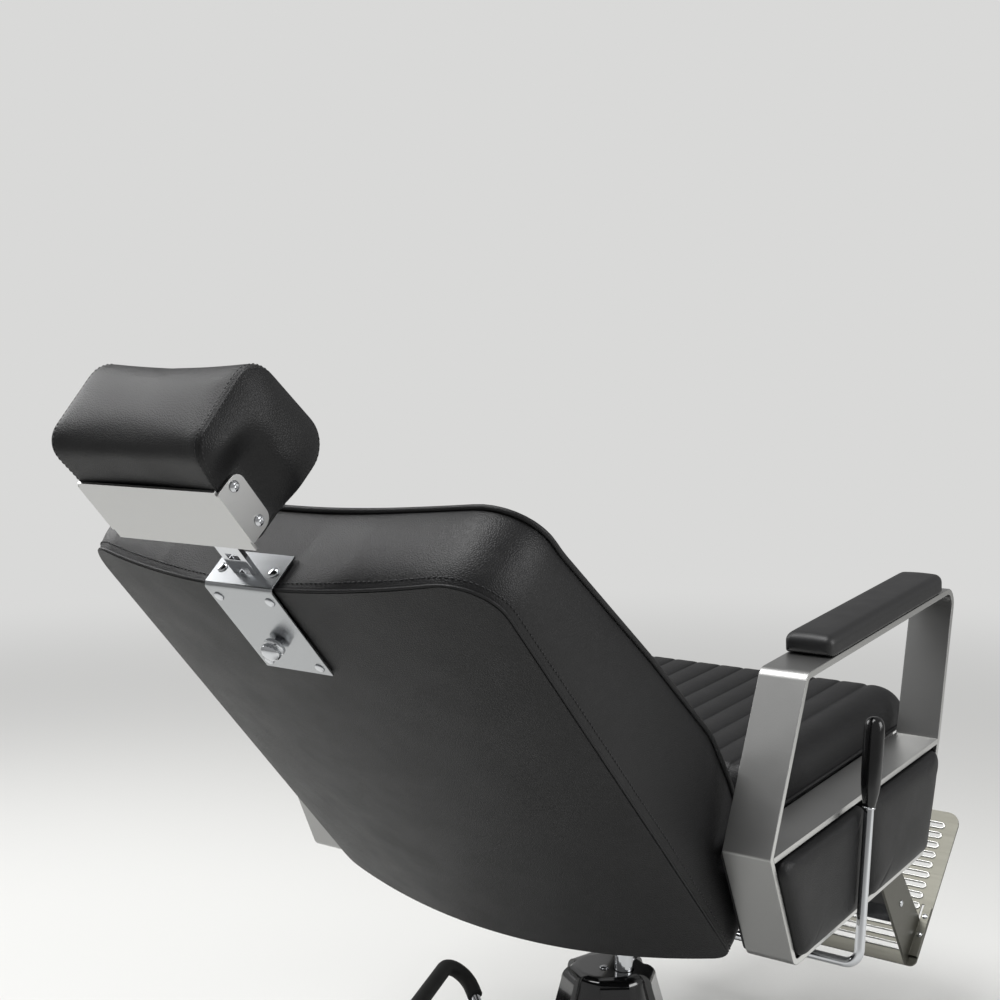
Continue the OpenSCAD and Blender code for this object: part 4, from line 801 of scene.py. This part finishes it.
# %% Seams of the backrest
co = np.empty(len(back.data.vertices) * 3)
back.data.vertices.foreach_get("co", co)
co = co.reshape(-1, 3)
front_seam = co[rim] + (co[band_start:band_start + n] - co[rim]) * 0.5
rear_seam = (co[[rear_start + i for i in rim]] + co[last:rear_start]) / 2
stitch_line = co[last - n:last]
lift = np.array([on_back(nx, 0, nz) - HINGE for nx, nz in outward])
settle(piping("backrest_piping", front_seam + lift * 1.2 * MM, 2.8 * MM), "back", "black_vinyl")
settle(piping("backrest_welt", rear_seam + lift * 0.3 * MM, 1.6 * MM, sides=8), "back", "black_vinyl")
settle(stitching("backrest_stitches", stitch_line + lift * 0.3 * MM, thickness=1.3 * MM), "back", "black_vinyl")
subdivided(back)

# %% Recess for the strut, cut through the foot of the cover
recess = new_piece("recess", [on_back(x, out, up) for x in (-30 * MM, 30 * MM) for out in (-110 * MM, 62 * MM)
                              for up in (BACK_FOOT - 30 * MM, 34 * MM)],
                   [(0, 1, 3, 2), (4, 6, 7, 5), (0, 4, 5, 1), (2, 3, 7, 6), (0, 2, 6, 4), (1, 5, 7, 3)],
                   "black_vinyl")
cut = back.modifiers.new("recess", "BOOLEAN")
cut.object = recess
cut.solver = "EXACT"
applied(back)
bpy.data.objects.remove(recess)
settle(back, "back", "black_vinyl", "back_cushion", "back_band", "back_panel")
print("backrest cover", len(back.data.polygons), "faces,", n, "points round its outline")

# %% [markdown]
# ## Headrest
# A foam block under vinyl, boxed at both ends with a cap that is sewn in and top-stitched on both sides of the
# seam. It is a stack of outlines along its length. The caps bulge, but stay clear of the bracket's end flanges.

# %% Headrest cushion
HEAD_REAR, HEAD_FOOT = 111.0 * MM, 581.8 * MM
HEAD_DEEP, HEAD_TALL, HEAD_LEAN, HEAD_RISE = 116 * MM, 110 * MM, 4 * MM, 11 * MM
HEAD_FLAT, HEAD_SEAM, HEAD_END = 82.2 * MM, 89 * MM, 101 * MM
FLANGE, FLANGE_TALL, RAMP = 28 * MM, 61 * MM, 36 * MM
head_corners = [(HEAD_REAR - HEAD_DEEP, HEAD_FOOT + HEAD_LEAN), (HEAD_REAR, HEAD_FOOT),
                (HEAD_REAR, HEAD_FOOT + HEAD_TALL), (HEAD_REAR - 0.86 * HEAD_DEEP, HEAD_FOOT + HEAD_TALL + HEAD_RISE)]
head_round = [28 * MM, 12 * MM, 22 * MM, 28 * MM]


def eased_in(share):
    """A smooth step from 0 to 1."""
    share = min(1.0, max(0.0, share))
    return share * share * (3 - 2 * share)


def head_ring(x, inset, share=1.0):
    """One outline of the headrest; near an end it shrinks and keeps inside the bracket's flange."""
    outline = rounded(drawn_in(head_corners, inset), [max(r - inset, 5 * MM) for r in head_round], 7, 12)
    middle = outline.mean(axis=0)
    outline = middle + (outline - middle) * share
    ring = []
    for out, up in outline:
        ahead, above = HEAD_REAR - FLANGE - out, up - HEAD_FOOT - FLANGE_TALL
        room = 1 - (1 - eased_in(ahead / RAMP)) * (1 - eased_in(above / RAMP))
        reach = HEAD_FLAT + (abs(x) - HEAD_FLAT) * room if abs(x) > HEAD_FLAT else abs(x)
        ring.append(on_back(math.copysign(reach, x), out, up))
    return ring


# Each section has its place along the cushion, how far it is drawn in and its share of the full outline
ends = [(HEAD_FLAT - 0.4 * MM, 0.0, 1.0), (HEAD_SEAM - 3 * MM, 0.1 * MM, 1.0), (HEAD_SEAM - 1 * MM, 0.8 * MM, 1.0),
        (HEAD_SEAM, 2.4 * MM, 1.0), (HEAD_SEAM + 1 * MM, 1.6 * MM, 1.0)]
CAP_SHARES = [0.975, 0.94, 0.89, 0.82, 0.72, 0.6, 0.45, 0.28, 0.12]
ends += [(HEAD_SEAM + 1 * MM + (HEAD_END - HEAD_SEAM - 1 * MM) * (1 - share ** 3.2), 1.6 * MM, share)
         for share in CAP_SHARES]
spans = [(x, 2.0 * MM * (1 - (x / HEAD_FLAT) ** 2), 1.0) for x in np.linspace(-HEAD_FLAT, HEAD_FLAT, 27)[1:-1]]
stations = [(-x, inset, share) for x, inset, share in reversed(ends)] + spans + ends
rings = [head_ring(x, inset, share) for x, inset, share in stations]
head = stacked("headrest_cover", rings, "black_vinyl")
per = len(rings[0])
seam_rings = [k for k, (x, _, _) in enumerate(stations) if abs(abs(x) - HEAD_SEAM) < 0.01 * MM]
pinned = [k * per + i for k in range(len(rings)) for i in range(per)
          if not seam_rings[0] < k < seam_rings[1] or (np.array(rings[k][i]) - HINGE) @ BACK_OUT > HEAD_REAR - 2 * MM]
pinned += [len(rings) * per, len(rings) * per + 1]
puff(head, pinned, 4 * MM)
co = np.array([v.co for v in head.data.vertices])
for side, k in zip((-1, 1), seam_rings):
    name = "left" if side > 0 else "right"
    seam = co[k * per:(k + 1) * per]
    settle(piping("headrest_seam_" + name, seam, 0.8 * MM, sides=6), "headrest", "black_vinyl")
    for place, step in (("stitches", -2), ("cap_stitches", 2)):
        row = co[(k + step * side) * per:(k + step * side + 1) * per]
        away = (row - row.mean(axis=0)) / np.linalg.norm(row - row.mean(axis=0), axis=1)[:, None]
        settle(stitching("headrest_" + place + "_" + name, row - away * 0.05 * MM, length=3 * MM, pitch=4.6 * MM,
                          thickness=0.7 * MM),
               "headrest", "black_vinyl")
settle(subdivided(head), "headrest", "black_vinyl", "headrest_cushion")
print("headrest cover", len(head.data.polygons), "faces")

# %% [markdown]
# ## Pads of the arms and leg rest
# The armrest is a moulded foam skin with round edges and a crowned top. The padded boards that fill the arm's
# frame, and the calf pad, are foam under stretched vinyl: flat at the back, full in the middle, and drawn
# in round the edge. One function stacks ever smaller outlines from the rim to the middle.

# %% Armrests
ARM_REAR, ARM_FRONT = np.array([176, 164]) * MM, np.array([-241, 176]) * MM
ARM_RUN = ARM_FRONT - ARM_REAR
ARM_LENGTH = float(np.linalg.norm(ARM_RUN))
ARM_MIDDLE = (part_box("arm_loop_left")[0].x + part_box("arm_loop_left")[1].x) / 2
PAD_FROM, PAD_TO = 55 * MM, ARM_LENGTH - 44 * MM
PAD_WIDE, PAD_TALL = 55 * MM, 22 * MM


def arm_pad_ring(along, inset, crown):
    """One section of the armrest, crowned across its top."""
    half = PAD_WIDE / 2
    corners = drawn_in([(-half, 0), (half, 0), (half, PAD_TALL), (-half, PAD_TALL)], inset)
    ring = []
    for x, z in rounded(corners, [max(r - inset, 1.5 * MM) for r in (4 * MM, 4 * MM, 9 * MM, 9 * MM)], 7, 8):
        z += crown * (1 - (x / half) ** 2) * max(0.0, z - PAD_TALL / 2) / (PAD_TALL / 2)
        place = ARM_REAR + ARM_RUN / ARM_LENGTH * along
        ring.append((x, place[0], place[1] + 0.3 * MM + z))
    return ring


pad_ends = [(0.0, 9 * MM), (0.3 * MM, 6.5 * MM), (1.6 * MM, 3.8 * MM), (4 * MM, 1.7 * MM), (7.5 * MM, 0.4 * MM),
            (11 * MM, 0.0)]
pad_stations = [(PAD_FROM + a, inset) for a, inset in pad_ends]
pad_stations += [(a, 0.0) for a in np.linspace(PAD_FROM + pad_ends[-1][0], PAD_TO - pad_ends[-1][0], 16)[1:-1]]
pad_stations += [(PAD_TO - a, inset) for a, inset in reversed(pad_ends)]
for side, name in ((1, "left"), (-1, "right")):
    rings = [[on_seat(side * (ARM_MIDDLE + x), y, z) for x, y, z in arm_pad_ring(a, inset, 1.5 * MM)]
             for a, inset in pad_stations]
    pad = stacked("armrest_" + name, rings, "skin_foam")
    settle(subdivided(pad), "seat", "black_vinyl", "arm_pad_" + name)


# %% Padded boards
# How far each ring is drawn in, and how much of the crown it has reached
CROWN_SHARES = [(0.006, 0.30), (0.022, 0.56), (0.055, 0.77), (0.11, 0.90), (0.22, 0.97), (0.42, 1.0), (0.7, 1.0),
                (0.95, 1.0)]


def board_pad(name, corners, radius, place, tall, wall, cap):
    """A pad over an outline: place(a, b, height) gives a point, and its crown rises from wall to tall."""
    rim_profile = [(0.0, 0.0), (0.0, wall / tall)]
    rim_profile += [(inset, (wall + (tall - wall) * rise) / tall) for inset, rise in CROWN_SHARES]
    outline = rounded(corners, [radius] * len(corners), 8, 14)
    middle = outline.mean(axis=0)
    rings = [[place(*(middle + (p - middle) * (1 - share)), height * tall) for p in outline]
             for share, height in rim_profile]
    rings = [[place(*(middle + (p - middle) * 0.5), 0.0) for p in outline]] + rings
    pad = stacked(name, rings, "black_vinyl")
    per = len(outline)
    puff(pad, list(range(3 * per)) + [len(rings) * per], cap)
    subdivided(pad)
    return pad


BAND, PANEL_GAP, PANEL_PROUD = 7 * MM, 1.2 * MM, 10 * MM
ARM_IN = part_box("arm_loop_left")[0].x
ARM_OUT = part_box("arm_loop_left")[1].x
panel = drawn_in([(-187 * MM, 0), (-135 * MM, -128 * MM), (215 * MM, -128 * MM), (264 * MM, 0)], BAND + PANEL_GAP)
GROOVE_FRONT, GROOVE_REAR = 40.5 * MM, 47.5 * MM


def slant(a, b, y):
    return np.array([y, a[1] + (b[1] - a[1]) * (y - a[0]) / (b[0] - a[0])])


front_top, front_foot, rear_foot, rear_top = panel
areas = {"front": [front_top, front_foot,
                   slant(front_foot, rear_foot, GROOVE_FRONT), slant(front_top, rear_top, GROOVE_FRONT)],
         "rear": [slant(front_top, rear_top, GROOVE_REAR), slant(front_foot, rear_foot, GROOVE_REAR),
                  rear_foot, rear_top]}
for side, hand in ((1, "left"), (-1, "right")):
    for part, corners in areas.items():
        pad = board_pad(part + "_board_" + hand, corners, 13 * MM,
                        lambda y, z, high: on_seat(side * (ARM_IN + 0.5 * MM + high), y, z),
                        ARM_OUT - ARM_IN + PANEL_PROUD, ARM_OUT - ARM_IN - 3 * MM, 0.8 * MM)
        settle(pad, "seat", "black_vinyl", part + "_panel_" + hand)

# %% Calf pad
SHIN_TURN = -math.radians(41.5)
CALF_HALF = 180 * MM
CALF_LOW, CALF_HIGH = -276 * MM, -52 * MM
CALF_FACE = -21.4 * MM
calf_corners = [(-CALF_HALF, CALF_LOW), (CALF_HALF, CALF_LOW), (CALF_HALF, CALF_HIGH), (-CALF_HALF, CALF_HIGH)]
calf = board_pad("calf_pad_cover", calf_corners, 22 * MM,
                 lambda x, z, high: on_leg(SHIN_TURN, x, CALF_FACE - high, z), 25 * MM, 8 * MM, 3 * MM)
settle(calf, "leg_rest", "black_vinyl", "calf_pad")
print("calf pad", [round(v, 3) for v in calf.dimensions])

# %% [markdown]
# ## Bent rods: pedal and recline lever
# The pedal is one chromed rod bent to a bow, with a rubber sleeve over its tread, and the recline lever is a
# chromed rod with one bend and a moulded grip. Each rod is its bent route with the piping tree's round section.

# %% Bent routes
def bent(route, radius, steps=10):
    """A route with true bends of one radius at its inner corners."""
    route = [np.array(p, float) for p in route]
    points = [route[0]]
    for before, at, after in zip(route, route[1:], route[2:]):
        a, b = (before - at) / np.linalg.norm(before - at), (after - at) / np.linalg.norm(after - at)
        half = math.acos(a @ b) / 2
        centre = at + (a + b) / np.linalg.norm(a + b) * radius / math.sin(half)
        start = at + a * radius / math.tan(half) - centre
        turn = math.pi - 2 * half
        points += [centre + start * math.cos(turn * k / steps) - a * radius * math.sin(turn * k / steps)
                   for k in range(steps + 1)]
    return points + [route[-1]]


HUB_AT = np.array([22 * MM, 0.0, 0.0])
PEDAL_AXLE = np.array(JOINT["pedal_press"]["pos_m"])
PEDAL_OUT = (PEDAL_AXLE - HUB_AT) * (1, 1, 0)
AXLE_AT = float(np.linalg.norm(PEDAL_OUT))
PEDAL_OUT /= AXLE_AT
PEDAL_SIDE = np.cross(UP, PEDAL_OUT)
TREAD_REACH, TREAD_HALF, TREAD_Z = 240 * MM, 146 * MM, 172 * MM
PEDAL_R, SLEEVE_R, BOW_BEND, BOW_NECK, BOW_ROOT, SLEEVE_TAIL = 6 * MM, 10.5 * MM, 26 * MM, 34 * MM, 12 * MM, 14 * MM


def on_pedal(out, side, up):
    return HUB_AT + PEDAL_OUT * out + PEDAL_SIDE * side + UP * up


root = on_pedal(AXLE_AT, BOW_ROOT, PEDAL_AXLE[2])
tread = on_pedal(TREAD_REACH, 0, TREAD_Z) - PEDAL_AXLE
elbow = root + tread / np.linalg.norm(tread) * BOW_NECK
corner = on_pedal(TREAD_REACH, TREAD_HALF, TREAD_Z)


def both_halves(half):
    """A half route and its mirror image across the pedal's middle."""
    return half + [p - 2 * ((p - HUB_AT) @ PEDAL_SIDE) * PEDAL_SIDE for p in reversed(half)]


bow = piping("pedal_rod", bent(both_halves([root, elbow, corner]), BOW_BEND), PEDAL_R, "chrome", closed=False,
             sides=20)
settle(bow, "pedal", "chrome", "pedal_bow")
back_way = (elbow - corner) / np.linalg.norm(elbow - corner)
meet = math.acos(back_way @ -PEDAL_SIDE) / 2
sleeve_end = corner + back_way * (SLEEVE_TAIL + BOW_BEND / math.tan(meet))
sleeve_path = bent(both_halves([sleeve_end, corner]), BOW_BEND)
sleeve = piping("pedal_grip", sleeve_path, SLEEVE_R, "rubber", closed=False, sides=24)
settle(sleeve, "pedal", "rubber", "pedal_sleeve")

# %% Recline lever
LEVER_AXIS = np.array(JOINT["lever_pull"]["pos_m"])
GRIP_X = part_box("lever_grip")
LEVER_X = (GRIP_X[0].x + GRIP_X[1].x) / 2
LEVER_LEAN, LEVER_LONG, GRIP_LONG = math.radians(6.7), 262 * MM, 95 * MM
LEVER_R, LEVER_BEND = 5.3 * MM, 16 * MM
lever_foot = np.array([LEVER_X, LEVER_AXIS[1], LEVER_AXIS[2]])
lever_way = np.array([0, -math.sin(LEVER_LEAN), math.cos(LEVER_LEAN)])
route = [LEVER_AXIS + np.array([-45 * MM, 0, 0]), lever_foot, lever_foot + lever_way * (LEVER_LONG - 14 * MM)]
rod = piping("lever_bent_rod", bent(route, LEVER_BEND, 14), LEVER_R, "chrome", closed=False, spacing=2 * MM, sides=24)


def turned(name, profile, at, along, finish, around=40):
    """A turned piece: its profile is a list of (radius, place along the axis), spun about that axis."""
    along = np.array(along, float) / np.linalg.norm(along)
    across = np.cross(along, [1.0, 0.0, 0.0] if abs(along[0]) < 0.9 else [0.0, 1.0, 0.0])
    across /= np.linalg.norm(across)
    other = np.cross(along, across)
    rings = [[np.array(at) + along * place + radius * (across * math.cos(2 * math.pi * k / around)
              + other * math.sin(2 * math.pi * k / around)) for k in range(around)] for radius, place in profile]
    return stacked(name, rings, finish)


grip_foot = lever_foot + lever_way * (LEVER_LONG - GRIP_LONG)
grip_profile = [(5.8, 0.0), (6.5, 0.4), (7.0, 4), (8.1, 9), (9.3, 15), (10.2, 23), (10.7, 34), (10.9, 48), (11.0, 66),
                (10.9, 80), (10.5, 85.5), (9.4, 89.8), (7.4, 92.8), (4.8, 94.4), (2.4, 94.9)]
grip = turned("lever_knob", [(r * MM, z * MM) for r, z in grip_profile], grip_foot, lever_way, "gloss_plastic")
settle(grip, "lever", "gloss_plastic", "lever_grip")
collar_profile = [(5.4, -2.2), (6.3, -2.1), (6.6, -1.7), (6.6, -0.5), (6.3, -0.1), (5.6, 0.0)]
collar = turned("lever_collar", [(r * MM, z * MM) for r, z in collar_profile], grip_foot, lever_way, "chrome", 32)
settle(collar, "lever", "chrome")
for name, x in (("outer", -95.3 * MM), ("inner", -59.7 * MM)):
    stop = turned("lever_stop_" + name, [(5.5 * MM, 0.0), (9.6 * MM, 0.0), (10 * MM, 0.5 * MM), (10 * MM, 4.5 * MM),
                                         (9.6 * MM, 5 * MM), (5.5 * MM, 5 * MM)],
                  [x, LEVER_AXIS[1], LEVER_AXIS[2]], [1, 0, 0], "zinc_steel")
    settle(stop, "lever", "chrome")
settle(rod, "lever", "chrome", "lever_rod")
print("lever leans", round(math.degrees(LEVER_LEAN), 1), "degrees")

# %% [markdown]
# ## Eased edges
# Sheet and bar never end in a perfect edge: shearing, grinding and plating leave a tiny round that catches
# the light as a bright line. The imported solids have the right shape, so a copy of each, with its loose triangles
# merged and its flat faces joined again, gets a small bevel and stands for the node.

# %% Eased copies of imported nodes
def eased(node, width, bend=None):
    """A copy of a node with bevelled edges; bend rounds chosen edges by a larger radius first."""
    finish = SLOT[node]
    work = bmesh.new()
    work.from_mesh(frame["nodes"][node].data)
    bmesh.ops.remove_doubles(work, verts=work.verts, dist=0.02 * MM)
    bmesh.ops.dissolve_limit(work, angle_limit=math.radians(2), verts=work.verts, edges=work.edges)
    if bend:
        test, radius = bend
        chosen = [e for e in work.edges if test([np.array(v.co) for v in e.verts])]
        bmesh.ops.bevel(work, geom=chosen, offset=radius, segments=6, profile=0.5, affect="EDGES")
        print(node, "bent edges:", len(chosen))
    for face in work.faces:
        face.smooth = True
    mesh = bpy.data.meshes.new(node + "_eased")
    work.to_mesh(mesh)
    work.free()
    mesh.materials.append(MATERIALS[finish])
    obj = added(node + "_eased", mesh)
    bevel = obj.modifiers.new("edge", "BEVEL")
    bevel.width = width
    bevel.segments = 2
    bevel.limit_method = "ANGLE"
    bevel.angle_limit = math.radians(35)
    bevel.use_clamp_overlap = True
    flat = obj.modifiers.new("flat", "WEIGHTED_NORMAL")
    flat.weight = 100
    flat.keep_sharp = False
    applied(obj)
    # Faces that point along X, the band's narrow edges, take the paler steel: a painted highlight.
    if finish == "satin_steel":
        obj.data.materials.append(MATERIALS["edge_steel"])
        for face in obj.data.polygons:
            face.material_index = int(abs(face.normal.x) > 0.99)
    settle(obj, BODY[node], SLOT[node], node)
    return obj


def back_place(p):
    """Across, out and up of a point in the backrest's frame."""
    d = p - HINGE
    return d[0], d @ BACK_OUT, d @ BACK_UP


PLATE_OUT = REAR_OUT + 0.3 * MM + 2.5 * MM
FLANGE_UP = BACK_TOP + 0.3 * MM + 2.5 * MM


def is_mount_bend(ends):
    places = [back_place(p) for p in ends]
    return all(abs(out - PLATE_OUT) < 0.1 * MM and abs(up - FLANGE_UP) < 0.1 * MM for _, out, up in places)


EDGES = {"arm_loop_left": 0.7, "arm_loop_right": 0.7, "arm_bar_left": 0.4, "arm_bar_right": 0.4, "base_star": 2.2,
         "headrest_bracket": 0.5, "headrest_post": 0.6, "leg_plate_left": 0.8, "leg_plate_right": 0.8,
         "foot_plate": 0.5, "leg_beam": 1.2, "seat_plate": 1.0, "side_plate_left": 0.8, "side_plate_right": 0.8,
         "pedal_bracket": 1.5, "lever_bracket": 1.0}
for node, width in EDGES.items():
    eased(node, width * MM)
mount = eased("headrest_mount", 0.4 * MM, (is_mount_bend, 4.5 * MM))
mount.data.materials[0] = MATERIALS["buffed_steel"]
print(len(EDGES) + 1, "nodes have eased edges")

# %% [markdown]
# ## Screws and knob
# The screws have polished domed heads, some with a hexagon socket. Their places are read from the packed
# heads. One tree sets a head on each point; the head itself is a small lathe shape with a real socket.

# %% Screw heads
SCREWS, given = new_tree("screws", {"Size": 1.0})
marks = put(SCREWS, "GeometryNodeMeshToPoints", {"Mesh": given["Geometry"]})
facing = put(SCREWS, "GeometryNodeInputNamedAttribute", {"Name": "facing"}, data_type="FLOAT_VECTOR")
radius = put(SCREWS, "GeometryNodeInputNamedAttribute", {"Name": "head_radius"}, data_type="FLOAT")
grown_to = put(SCREWS, "ShaderNodeMath", {0: given["Size"], 1: radius.outputs["Attribute"]}, operation="MULTIPLY")
turned_out = put(SCREWS, "FunctionNodeAlignRotationToVector", {"Vector": facing.outputs["Attribute"]}, axis="Z")
head_mesh = put(SCREWS, "GeometryNodeObjectInfo")
set_heads = put(SCREWS, "GeometryNodeInstanceOnPoints", {"Points": marks.outputs["Points"],
                                                         "Instance": head_mesh.outputs["Geometry"],
                                                         "Rotation": turned_out.outputs["Rotation"],
                                                         "Scale": grown_to.outputs["Value"]})
close_tree(SCREWS, given, set_heads.outputs["Instances"])


def screw_head(name, tall, socket):
    """A domed head of radius 1 that stands on z = 0; socket is the radius of its hexagon, or 0 for none."""
    around = 36
    angles = [2 * math.pi * k / around for k in range(around)]
    profile = [(0.96, -0.02), (1.0, 0.06)] + [(math.cos(a), 0.10 + (tall - 0.10) * math.sin(a))
                                              for a in np.linspace(0.12, 1.12 if socket else 1.45, 8)]
    rings = [[np.array((r * math.cos(a), r * math.sin(a), z)) for a in angles] for r, z in profile]
    if socket:
        hexagon = [socket * math.cos(math.pi / 6) / math.cos((a + math.pi / 6) % (math.pi / 3) - math.pi / 6)
                   for a in angles]
        for z, share in ((tall, 1.12), (tall - 0.03, 1.0), (tall - 0.42, 0.98)):
            rings.append([np.array((r * share * math.cos(a), r * share * math.sin(a), z))
                          for r, a in zip(hexagon, angles)])
    return stacked(name, rings, "chrome")


def solids_of(node):
    """The points of each separate solid of a node."""
    work = bmesh.new()
    work.from_mesh(frame["nodes"][node].data)
    bmesh.ops.remove_doubles(work, verts=work.verts, dist=0.02 * MM)
    left, found = set(work.verts), []
    while left:
        stack, group = [left.pop()], []
        while stack:
            vert = stack.pop()
            group.append(np.array(vert.co))
            for edge in vert.link_edges:
                other = edge.other_vert(vert)
                if other in left:
                    left.discard(other)
                    stack.append(other)
        found.append(np.array(group))
    work.free()
    return sorted(found, key=lambda group: tuple(np.round(group.mean(axis=0), 4)))


def domes(node, directions):
    """Foot, facing and radius of each domed head of a node; it is shallowest along the way it faces."""
    places = []
    for points in solids_of(node):
        way = min((np.array(d, float) for d in directions), key=lambda d: np.ptp(points @ d))
        found = []
        for facing in (way, -way):
            along = points @ facing
            end = points[along < along.min() + 0.05 * MM]
            foot = (end.min(axis=0) + end.max(axis=0)) / 2
            found.append((float(np.linalg.norm(end - foot, axis=1).max()), foot, facing))
        radius, foot, facing = max(found, key=lambda item: item[0])
        places.append((foot, facing, radius))
    return places


def screws(name, node, directions, head):
    """Heads in place of a node's plain domes, as one mesh."""
    places = domes(node, directions)
    marks = wire("marks", [foot for foot, _, _ in places], [])
    marks.data.attributes.new("facing", "FLOAT_VECTOR", "POINT").data.foreach_set(
        "vector", np.array([way for _, way, _ in places]).ravel())
    marks.data.attributes.new("head_radius", "FLOAT", "POINT").data.foreach_set("value", [r for _, _, r in places])
    head_mesh.inputs["Object"].default_value = head
    settle(grown(name, SCREWS, marks, "chrome"), BODY[node], SLOT[node], node)
    print(name, len(places), "heads of radius", sorted({round(r * 1000, 1) for _, _, r in places}), "mm")


FOOT_TILT = math.radians(45)
FOOT_NORMAL = np.array([0, math.sin(FOOT_TILT), math.cos(FOOT_TILT)])
oval = screw_head("oval_head", 0.46, 0.0)
button = screw_head("button_head", 0.62, 0.5)
screws("mount_heads", "mount_screws", [BACK_OUT, BACK_UP], oval)
screws("bracket_heads", "bracket_screws", [(1, 0, 0)], button)
screws("leg_rest_heads", "leg_screws", [(1, 0, 0), FOOT_NORMAL], oval)
screws("hub_heads", "hub_screws", [UP], oval)
for head_object in (oval, button):
    bpy.data.objects.remove(head_object)

# %% Clamp knob
# A polished screw knob: a collar, a groove and a domed cap, with a thin pin across the groove for the fingers.
KNOB_AT = np.array(JOINT["clamp_turn"]["pos_m"])
KNOB_UP = (KNOB_AT - HINGE) @ BACK_UP
knob_foot = on_back(0, PLATE_OUT, KNOB_UP)
knob_profile = [(5.4, 2.5), (6.4, 2.6), (9.8, 2.9), (10.4, 3.6), (10.5, 6.2), (10.0, 7.0), (8.6, 7.4), (8.2, 8.2),
                (8.6, 9.0), (9.6, 9.4), (9.9, 10.4), (9.6, 12.6), (8.4, 14.8), (6.2, 16.5), (3.4, 17.4), (1.2, 17.5)]
knob = turned("clamp_knob_turned", [(r * MM, z * MM) for r, z in knob_profile], knob_foot, BACK_OUT, "chrome", 48)
settle(knob, "clamp", "chrome", "clamp_knob")
pin_way = (np.array([1.0, 0, 0]) - BACK_UP) / math.sqrt(2)
pin_at = knob_foot + BACK_OUT * 8.2 * MM
pin_profile = [(0.8, -11.6), (1.2, -11.3), (1.2, 11.3), (0.8, 11.6)]
pin = turned("clamp_cross_pin", [(r * MM, z * MM) for r, z in pin_profile], pin_at, pin_way, "machined_steel", 16)
settle(pin, "clamp", "chrome")

# %% [markdown]
# ## Footplate
# The footplate is stainless sheet with thirteen rows of pressed slots: the punch turns each slot's edge up into a
# rim, which grips a shoe's sole. The imported sheet has the slots, and the piping tree follows each slot's
# outline with a thin section to raise its rim, in a paler steel that paints a highlight along it.

# %% Slot rims
FOOT_LONG, SLOT_ROWS, SLOT_WIDE = 250 * MM, 13, 8 * MM
FOOT_END, FOOT_WEB, FOOT_MARGIN = 16 * MM, 22 * MM, 20 * MM
FOOT_HALF_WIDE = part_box("foot_plate")[1].x
TIP = (-255 * MM, -303 * MM)
FOOT_UP = np.array([0, -math.cos(FOOT_TILT), math.sin(FOOT_TILT)])


def on_foot(x, out, up):
    """A point of the footplate's frame: across, out of its upper face, and up its slope."""
    return LEG_AT + np.array([x, TIP[0], TIP[1]]) + FOOT_NORMAL * out + FOOT_UP * up


pitch = (FOOT_LONG - 2 * FOOT_END) / SLOT_ROWS
rim_points, rim_edges = [], []
for row in range(SLOT_ROWS):
    z = FOOT_END + pitch * (row + 0.5)
    for side in (-1, 1):
        low, high = FOOT_WEB / 2 + SLOT_WIDE / 2, FOOT_HALF_WIDE - FOOT_MARGIN - SLOT_WIDE / 2
        r = SLOT_WIDE / 2 + 0.4 * MM
        loop = [(high + r * math.cos(a), z + r * math.sin(a)) for a in np.linspace(-math.pi / 2, math.pi / 2, 9)]
        loop += [(low - r * math.cos(a), z - r * math.sin(a)) for a in np.linspace(-math.pi / 2, math.pi / 2, 9)]
        start = len(rim_points)
        rim_points += [on_foot(side * x, 0.5 * MM, up) for x, up in loop]
        rim_edges += [(start + i, start + (i + 1) % len(loop)) for i in range(len(loop))]
# The rims take the paler steel, a painted highlight.
rims = grown("slot_rims", PIPING, wire("slot_paths", rim_points, rim_edges), "rim_steel", Radius=1.25 * MM,
             Spacing=2.5 * MM, Sides=8)
settle(rims, "leg_rest", "slotted_steel")
print("rims round", 2 * SLOT_ROWS, "slots,", len(rims.data.polygons), "faces")
